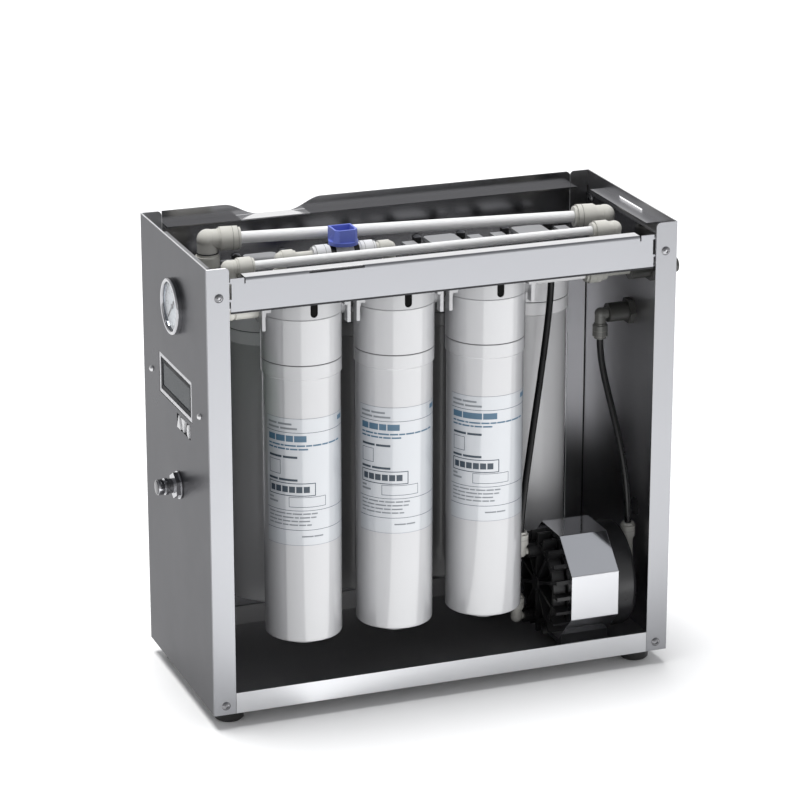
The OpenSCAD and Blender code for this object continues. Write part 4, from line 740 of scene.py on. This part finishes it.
# Black tubes: flexible polyethylene, bent by hand between the pump, the heads and the right wall port.
# Each is swept as one round tube along the route of its solid, and is a little thicker than it.
TUBE_R = 0.0037
TUBE_SIDES, TUBE_STEPS = 20, 48
PUSHED_IN = 0.010
ROUTES = {
    "pump_outlet_tube": (at(376.5, 74, 131), at(376.5, 74, 181), at(427, 118, 340.5), at(427, 118, 400.5)),
    "pump_return_tube": (at(376.5, 84, 53), at(376.5, 84, 113), at(324, 118, 320.5), at(324, 118, 400.5)),
    "pump_inlet_tube": (at(481.3, 107, 331), at(481.3, 107, 276),
                        at(503.7, 72, 220.5), at(503.7, 72, 125.5)),
}
tube_black = moulded("tube_black", (0.006, 0.006, 0.0065),
                     rough=0.3, mottle=0.15, grain=400, bump=0.02, shine=0.25)


def tube_tree(name, material):
    """A round tube with closed ends along a line; its radius is an input."""
    tree, keys = node_tree(name, Radius=0.003)
    n, ln = tree.nodes, tree.links
    given = n.new("NodeGroupInput")
    line = n.new("GeometryNodeMeshToCurve")
    ln.new(given.outputs["Geometry"], line.inputs["Mesh"])
    section = n.new("GeometryNodeCurvePrimitiveCircle")
    section.inputs["Resolution"].default_value = TUBE_SIDES
    ln.new(given.outputs["Radius"], section.inputs["Radius"])
    skin = n.new("GeometryNodeCurveToMesh")
    skin.inputs["Fill Caps"].default_value = True
    ln.new(line.outputs["Curve"], skin.inputs["Curve"])
    ln.new(section.outputs["Curve"], skin.inputs["Profile Curve"])
    hand_out(tree, skin.outputs["Mesh"], material)
    return tree, keys


def swept(name, route):
    """A tube pushed into both its fittings, along the curve that four points give."""
    a, b, c, d = route
    line = [a - PUSHED_IN * (b - a).normalized()]
    for i in range(TUBE_STEPS + 1):
        t = i / TUBE_STEPS
        line.append((1 - t) ** 3 * a + 3 * t * (1 - t) ** 2 * b + 3 * t * t * (1 - t) * c + t ** 3 * d)
    line.append(d + PUSHED_IN * (d - c).normalized())
    mesh = bpy.data.meshes.new(name)
    mesh.from_pydata(line, [(i, i + 1) for i in range(len(line) - 1)], [])
    return outward(grown(mesh, *tube_tree(name, tube_black), Radius=TUBE_R))


for name, route in ROUTES.items():
    piece(name, swept(name, route), None, replaces=["small_tubes"])

# Shut-off valve: a white moulded body with black glands, held by the reducers at its ends.
# Its blue square handle turns a quarter turn.
GLAND_IN, GLAND_OUT, GLAND_R, BODY_SKIN = 0.0100, 0.0158, 0.0086, 0.0080
GLAND_SECTION = ((GLAND_IN, BODY_SKIN), (GLAND_IN, GLAND_R), (GLAND_OUT, GLAND_R), (GLAND_OUT, BODY_SKIN))
GLAND_SIDES = 40
VALVE_X = 188
valve_middle = at(VALVE_X, VALVE_Y, VALVE_Z)
dress(moulded("valve_white", (0.66, 0.66, 0.67), rough=0.35, mottle=0.03), "valve_body")
glands = bmesh.new()
for side in (-1, 1):
    rows = []
    for reach, r in GLAND_SECTION:
        row = []
        for j in range(GLAND_SIDES):
            turn = 2 * math.pi * j / GLAND_SIDES
            off = Vector((side * reach, r * math.cos(turn), r * math.sin(turn)))
            row.append(glands.verts.new(valve_middle + off))
        rows.append(row)
    for one, two in zip(rows, rows[1:] + rows[:1]):
        for j in range(GLAND_SIDES):
            after = (j + 1) % GLAND_SIDES
            glands.faces.new((one[j], one[after], two[after], two[j]))
piece("valve_glands", cast(glands, "glands"), seal_black)
handle_blue = moulded("handle_blue", (0.13, 0.175, 0.58), rough=0.4, mottle=0.06, grain=900, bump=0.06)
piece("handle_cap", eased("valve_handle", radius=0.0006), handle_blue, "valve_handle",
      ["valve_handle"], CRISP)

# Pump: a polished eight-sided steel shell between a ribbed black head and a smooth black end bell.
# It stands on a black saddle; the rotor inside turns with the motor.
SHELL_FRONT = -0.1062
# Painted shade: the front facet is a darker, rougher copy of the shell's steel
SHELL_STEEL, FACET_SHADE_STEEL = (0.84, 0.845, 0.87), (0.46, 0.465, 0.48)
SHELL_ROUGH, FACET_ROUGH = 0.07, 0.45
SHELL_GRAIN = (600, 60, 60)
shell_steel = stainless("shell_steel", SHELL_STEEL, SHELL_ROUGH, SHELL_GRAIN,
                        ("Y", "LESS_THAN", SHELL_FRONT, FACET_SHADE_STEEL, FACET_ROUGH), scratch=0.02)
piece("pump_shell", eased("motor_shell", radius=0.0005), shell_steel,
      replaces=["motor_shell"], smooth=FLAT)
pump_black = moulded("pump_black", (0.008, 0.008, 0.0085),
                     rough=0.36, mottle=0.15, grain=1100, bump=0.08, shine=0.35)
dress(pump_black, "pump_head")
dress(moulded("saddle_black", (0.03, 0.03, 0.032),
              rough=0.18, mottle=0.1, grain=900, bump=0.02, coat=0.6, coat_ior=1.6), "pump_base")
dress(moulded("bell_black", (0.013, 0.013, 0.014),
              rough=0.34, mottle=0.12, grain=1200, bump=0.08, shine=0.35), "end_bell")
dress(turned_metal("lamination", (0.25, 0.25, 0.26), rough=0.4), "motor_stator", "motor_rotor")

# Gauge: a chrome bezel and glass over a white dial, with a black pointer on the movement's arbor.
# The dial is printed with a ring of ticks, an arc and plain numbers.
TICK_THICK = 0.00008
INK_LIFT = 0.00005
NUMBER_R, NUMBER_H, NUMBER_THICK = 0.0158, 0.0048, 0.00004
NUMBERS, NUMBER_STEP = 7, 2
GLASS_TINT, GLASS_IOR = (0.96, 0.98, 1, 1), 1.1
dress(turned_metal("bezel_chrome", (0.42, 0.42, 0.435), rough=0.09), "gauge_bezel", "gauge_case")
dress(moulded("gauge_black", (0.02, 0.02, 0.021), rough=0.45, mottle=0.15), "gauge_pointer")
dress(moulded("dial_enamel", (0.62, 0.62, 0.63), rough=0.35, mottle=0.02), "gauge_dial")


def clear_glass(name):
    """Thin clear glass with faint smears; it hardly bends the view of the dial."""
    made, nt, skin, place = blank(name)
    skin.inputs["Base Color"].default_value = GLASS_TINT
    skin.inputs["Transmission Weight"].default_value = 1.0
    skin.inputs["IOR"].default_value = GLASS_IOR
    nt.links.new(spread(nt, noise(nt, place, 40, 3), 0.01, 0.05), skin.inputs["Roughness"])
    return made


dress(clear_glass("gauge_glass"), "gauge_lens")


def tick_tree(name, material):
    """Ticks on an arc of a dial that faces -X; their number, place and size are inputs."""
    tree, keys = node_tree(name, Count=31, Radius=0.02, Length=0.002, Width=0.0005, Start=0.0, Sweep=1.0)
    n, ln = tree.nodes, tree.links

    def sum_of(kind, a, b=None):
        node = n.new("ShaderNodeMath")
        node.operation = kind
        for k, part in enumerate((a, b)):
            if isinstance(part, (int, float)):
                node.inputs[k].default_value = part
            elif part is not None:
                ln.new(part, node.inputs[k])
        return node.outputs["Value"]

    given = n.new("NodeGroupInput")
    dots = n.new("GeometryNodePoints")
    ln.new(given.outputs["Count"], dots.inputs["Count"])
    index = n.new("GeometryNodeInputIndex").outputs["Index"]
    share = sum_of("DIVIDE", index, sum_of("SUBTRACT", given.outputs["Count"], 1))
    angle = sum_of("ADD", given.outputs["Start"], sum_of("MULTIPLY", share, given.outputs["Sweep"]))
    spot = n.new("ShaderNodeCombineXYZ")
    ln.new(sum_of("MULTIPLY", given.outputs["Radius"], sum_of("COSINE", angle)), spot.inputs["Y"])
    ln.new(sum_of("MULTIPLY", given.outputs["Radius"], sum_of("SINE", angle)), spot.inputs["Z"])
    place = n.new("GeometryNodeSetPosition")
    ln.new(dots.outputs["Points"], place.inputs["Geometry"])
    ln.new(spot.outputs["Vector"], place.inputs["Position"])
    size = n.new("ShaderNodeCombineXYZ")
    size.inputs["X"].default_value = TICK_THICK
    ln.new(given.outputs["Length"], size.inputs["Y"])
    ln.new(given.outputs["Width"], size.inputs["Z"])
    bar = n.new("GeometryNodeMeshCube")
    ln.new(size.outputs["Vector"], bar.inputs["Size"])
    turn = n.new("ShaderNodeCombineXYZ")
    ln.new(angle, turn.inputs["X"])
    put = n.new("GeometryNodeInstanceOnPoints")
    ln.new(place.outputs["Geometry"], put.inputs["Points"])
    ln.new(bar.outputs["Mesh"], put.inputs["Instance"])
    ln.new(turn.outputs["Vector"], put.inputs["Rotation"])
    hand_out(tree, put.outputs["Instances"], material)
    return tree, keys


dial_low, dial_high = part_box("gauge_dial")
dial_face = Vector((dial_low.x - INK_LIFT, (dial_low.y + dial_high.y) / 2, (dial_low.z + dial_high.z) / 2))
dial_ink = moulded("dial_ink", (0.02, 0.02, 0.022), rough=0.5, mottle=0.1)
# Seen from the left the scale starts low on the back side and runs clockwise over the top
SCALE_START = math.radians(-45)
SCALE_SWEEP = math.radians(270)
SCALE = {"Start": SCALE_START, "Sweep": SCALE_SWEEP}


def ticked(name, **sizes):
    """A printed ring of ticks on the dial."""
    done = grown(bpy.data.meshes.new(name), *tick_tree(name, dial_ink), **sizes)
    done.transform(Matrix.Translation(dial_face))
    return piece(name, done, None)


ticked("dial_major_ticks", Count=7, Radius=0.0212, Length=0.0042, Width=0.0008, **SCALE)
ticked("dial_minor_ticks", Count=31, Radius=0.0222, Length=0.0022, Width=0.0004, **SCALE)
ticked("dial_arc", Count=180, Radius=0.0235, Length=0.0003, Width=0.0007, **SCALE)


def numeral(text, place):
    """A flat number made a mesh, standing on a face that looks along -X."""
    curve = bpy.data.curves.new("number", "FONT")
    curve.body = text
    curve.size = NUMBER_H
    curve.align_x = "CENTER"
    curve.align_y = "CENTER"
    curve.extrude = NUMBER_THICK
    mesh = applied(workpiece(curve))
    stand = Matrix(((0, 0, -1, 0), (-1, 0, 0, 0), (0, 1, 0, 0), (0, 0, 0, 1)))
    mesh.transform(Matrix.Translation(place) @ stand)
    return mesh


for i in range(NUMBERS):
    angle = SCALE_START + SCALE_SWEEP * i / (NUMBERS - 1)
    spot = dial_face + NUMBER_R * Vector((0, math.cos(angle), math.sin(angle)))
    piece("dial_number_%d" % i, numeral(str(NUMBER_STEP * i), spot), dial_ink)

# Display: a pale moulded frame set in the left panel, with a dark mask round a grey screen.
# The screen is a liquid-crystal cell; the control board sits behind it, inside the cabinet.
DOTS_PER_METRE, DOT_GAP = 700, 0.06
DOT_DARK, DOT_LIGHT = (0.044, 0.050, 0.055, 1), (0.046, 0.052, 0.057, 1)
GAP_GREY = (0.040, 0.046, 0.051, 1)
SCREEN_SHINE = 0.04
rim_plastic = moulded("rim_plastic", (0.52, 0.52, 0.535), rough=0.4, mottle=0.03)
piece("display_rim", eased("display_frame", radius=0.0003), rim_plastic,
      replaces=["display_frame"], smooth=CRISP)
dress(moulded("mask_plastic", (0.014, 0.015, 0.017), rough=0.4, mottle=0.1, shine=0.03), "display_mask")
dress(moulded("board_green", (0.03, 0.14, 0.06), rough=0.5, mottle=0.15), "control_board")


def liquid_crystal(name):
    """Grey-green cell with a faint grid of dots under a glossy face."""
    made, nt, skin, place = blank(name)
    grid = nt.nodes.new("ShaderNodeTexBrick")
    grid.offset = 0.0
    grid.inputs["Scale"].default_value = DOTS_PER_METRE
    grid.inputs["Mortar Size"].default_value = DOT_GAP
    grid.inputs["Color1"].default_value = DOT_DARK
    grid.inputs["Color2"].default_value = DOT_LIGHT
    grid.inputs["Mortar"].default_value = GAP_GREY
    turned = nt.nodes.new("ShaderNodeMapping")
    turned.inputs["Rotation"].default_value = (0, math.pi / 2, 0)
    nt.links.new(place, turned.inputs["Vector"])
    nt.links.new(turned.outputs["Vector"], grid.inputs["Vector"])
    nt.links.new(grid.outputs["Color"], skin.inputs["Base Color"])
    nt.links.new(spread(nt, noise(nt, place, 30, 3), 0.14, 0.24), skin.inputs["Roughness"])
    skin.inputs["Specular IOR Level"].default_value = SCREEN_SHINE
    return made


dress(liquid_crystal("screen_cell"), "display_screen")

# Keys: three pale moulded caps in one window under the display, dark below the cap.
# Each slides in on its own switch.
CAP_FOOT = -0.2582
CAP_WHITE, STEM_BLACK = (0.62, 0.62, 0.63), (0.05, 0.05, 0.052)
key_plastic = two_tone("key_plastic", CAP_WHITE, STEM_BLACK, CAP_FOOT, rough=0.45)
for name in ("key_up", "key_down", "key_enter"):
    piece(name + "_cap", eased(name, radius=0.0005), key_plastic, name, [name], CRISP)

# Needle valve: a chromed body through the left panel, held by a hexagon nut.
# The round knob turns on it; its flat end is darker than its rim.
valve_chrome = turned_metal("valve_chrome", (0.40, 0.40, 0.415), rough=0.12)
dress(valve_chrome, "needle_valve_body", "needle_valve_nut")
END_DEPTH = 0.0006
KNOB_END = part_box("needle_valve_knob")[0].x + END_DEPTH
KNOB_CHROME, END_CHROME = (0.36, 0.36, 0.375), (0.08, 0.08, 0.085)
KNOB_ROUGH, END_ROUGH = 0.14, 0.2
KNOB_GRAIN = (900, 300, 300)
knob_chrome = stainless("knob_chrome", KNOB_CHROME, KNOB_ROUGH, KNOB_GRAIN,
                        ("X", "LESS_THAN", KNOB_END, END_CHROME, END_ROUGH))
piece("knob_cap", eased("needle_valve_knob", radius=0.0003), knob_chrome, "needle_knob",
      ["needle_valve_knob"], CRISP)

# Stage: a plain pale floor, far wider than the view, so that no edge of it shows.
# It is matt and nearly even in tone, like a roll of studio paper.
FLOOR_HALF = 14
FLOOR_DARK, FLOOR_LIGHT = (0.88, 0.88, 0.88), (0.9, 0.9, 0.9)
floor_mesh = bpy.data.meshes.new("floor")
floor_corners = [(x * FLOOR_HALF, y * FLOOR_HALF, 0) for x, y in ((-1, -1), (1, -1), (1, 1), (-1, 1))]
floor_mesh.from_pydata(floor_corners, [], [(0, 1, 2, 3)])
floor = bpy.data.objects.new("floor", floor_mesh)
bpy.context.scene.collection.objects.link(floor)
floor_paint, nt, skin, place = blank("floor_paint")
nt.links.new(tint(nt, noise(nt, place, 0.7, 2), FLOOR_DARK, FLOOR_LIGHT), skin.inputs["Base Color"])
skin.inputs["Roughness"].default_value = 0.9
skin.inputs["Specular IOR Level"].default_value = 0.1
floor_mesh.materials.append(floor_paint)

# Studio light: a dome, bright round the horizon, dimmer overhead and to the left.
# One wide sun from above gives the soft shade; mirror-like faces don't show it.
DOME_BRIGHT_Z, DOME_DIM_Z = 0.36, 0.75
DOME_WHITE, DOME_DIM, LEFT_DIM = (1.0, 1.0, 1.0, 1), (0.40, 0.41, 0.43, 1), (0.62, 0.62, 0.62, 1)
LEFT_X, RIGHT_X = -0.6, 0.4
SUN_POWER, SUN_SPREAD, SUN_PLACE = 3.4, 32, (-0.3, 0.4, 3)
world = bpy.data.worlds.new("studio")
bpy.context.scene.world = world
world.use_nodes = True
nt = world.node_tree
around = nt.nodes.new("ShaderNodeSeparateXYZ")
nt.links.new(nt.nodes.new("ShaderNodeTexCoord").outputs["Generated"], around.inputs["Vector"])
dome = nt.nodes.new("ShaderNodeValToRGB")
dome.color_ramp.elements[0].position = DOME_BRIGHT_Z
dome.color_ramp.elements[0].color = DOME_WHITE
dome.color_ramp.elements[1].position = DOME_DIM_Z
dome.color_ramp.elements[1].color = DOME_DIM
nt.links.new(around.outputs["Z"], dome.inputs["Fac"])
sides = nt.nodes.new("ShaderNodeValToRGB")
sides.color_ramp.elements[0].color = LEFT_DIM
sides.color_ramp.elements[1].color = DOME_WHITE
half = nt.nodes.new("ShaderNodeMapRange")
half.inputs["From Min"].default_value = LEFT_X
half.inputs["From Max"].default_value = RIGHT_X
nt.links.new(around.outputs["X"], half.inputs["Value"])
nt.links.new(half.outputs["Result"], sides.inputs["Fac"])
both = nt.nodes.new("ShaderNodeMix")
both.data_type = "RGBA"
both.blend_type = "MULTIPLY"
both.inputs["Factor"].default_value = 1.0
nt.links.new(dome.outputs["Color"], both.inputs["A"])
nt.links.new(sides.outputs["Color"], both.inputs["B"])
nt.links.new(both.outputs["Result"], nt.nodes["Background"].inputs["Color"])
nt.nodes["Background"].inputs["Strength"].default_value = 1.0
bpy.context.scene.view_settings.view_transform = "Standard"


def lamp(name, kind, energy, place, target, angle=None):
    """A light at a place, aimed at a target; a sun also has its spread in degrees."""
    light = bpy.data.lights.new(name, kind)
    light.energy = energy
    if angle:
        light.angle = math.radians(angle)
    obj = bpy.data.objects.new(name, light)
    obj.location = place
    obj.rotation_euler = (Vector(target) - Vector(place)).to_track_quat("-Z", "Y").to_euler()
    bpy.context.scene.collection.objects.link(obj)
    return obj


overhead = lamp("overhead", "SUN", SUN_POWER, SUN_PLACE, (0, 0, 0), SUN_SPREAD)
overhead.visible_glossy = False

# Low soft box: it lies on the floor in front of the object, where the upright faces mirror it.
# It lights them from below, as the pale table does in the photograph, and isn't itself in the view.
TABLE_TURN = math.radians(-19.3)
TABLE_DEEP, TABLE_WIDE = 1.5, 1.8
TABLE_CORNER = Vector((-0.145, -0.135, 0.004))
TABLE_POWER = 13.5
table_along = Vector((math.sin(TABLE_TURN), -math.cos(TABLE_TURN), 0))
table_across = Vector((math.cos(TABLE_TURN), math.sin(TABLE_TURN), 0))
table_middle = TABLE_CORNER + table_along * TABLE_DEEP / 2 + table_across * TABLE_WIDE / 2
table = lamp("low_soft_box", "AREA", TABLE_POWER, table_middle, table_middle + UP)
table.data.shape = "RECTANGLE"
table.data.size, table.data.size_y = TABLE_WIDE, TABLE_DEEP
table.rotation_euler = (math.pi, 0, TABLE_TURN)
table.visible_camera = False

# Camera: it stands where the photograph's did, by a fit to the cabinet's visible corners.
# The long lens comes from the same fit.
CAMERA_AZIMUTH = math.radians(-20.6695)
CAMERA_RISE = math.radians(18.5656)
CAMERA_PLACE = Vector((-1.202654, -3.164527, 1.436182))
LENS_MM, SENSOR_MM = 149.135, 36
FAR_CLIP = 100
flat_part = math.cos(CAMERA_RISE)
back = Vector((math.sin(CAMERA_AZIMUTH) * flat_part,
               -math.cos(CAMERA_AZIMUTH) * flat_part,
               math.sin(CAMERA_RISE)))
right = Vector((math.cos(CAMERA_AZIMUTH), math.sin(CAMERA_AZIMUTH), 0))
top = back.cross(right)
lens = bpy.data.cameras.new("camera")
lens.lens = LENS_MM
lens.sensor_width = SENSOR_MM
lens.sensor_fit = "HORIZONTAL"
lens.clip_end = FAR_CLIP
camera = bpy.data.objects.new("camera", lens)
seat = Matrix((right, top, back)).transposed().to_4x4()
seat.translation = CAMERA_PLACE
camera.matrix_world = seat
bpy.context.scene.collection.objects.link(camera)
bpy.context.scene.camera = camera
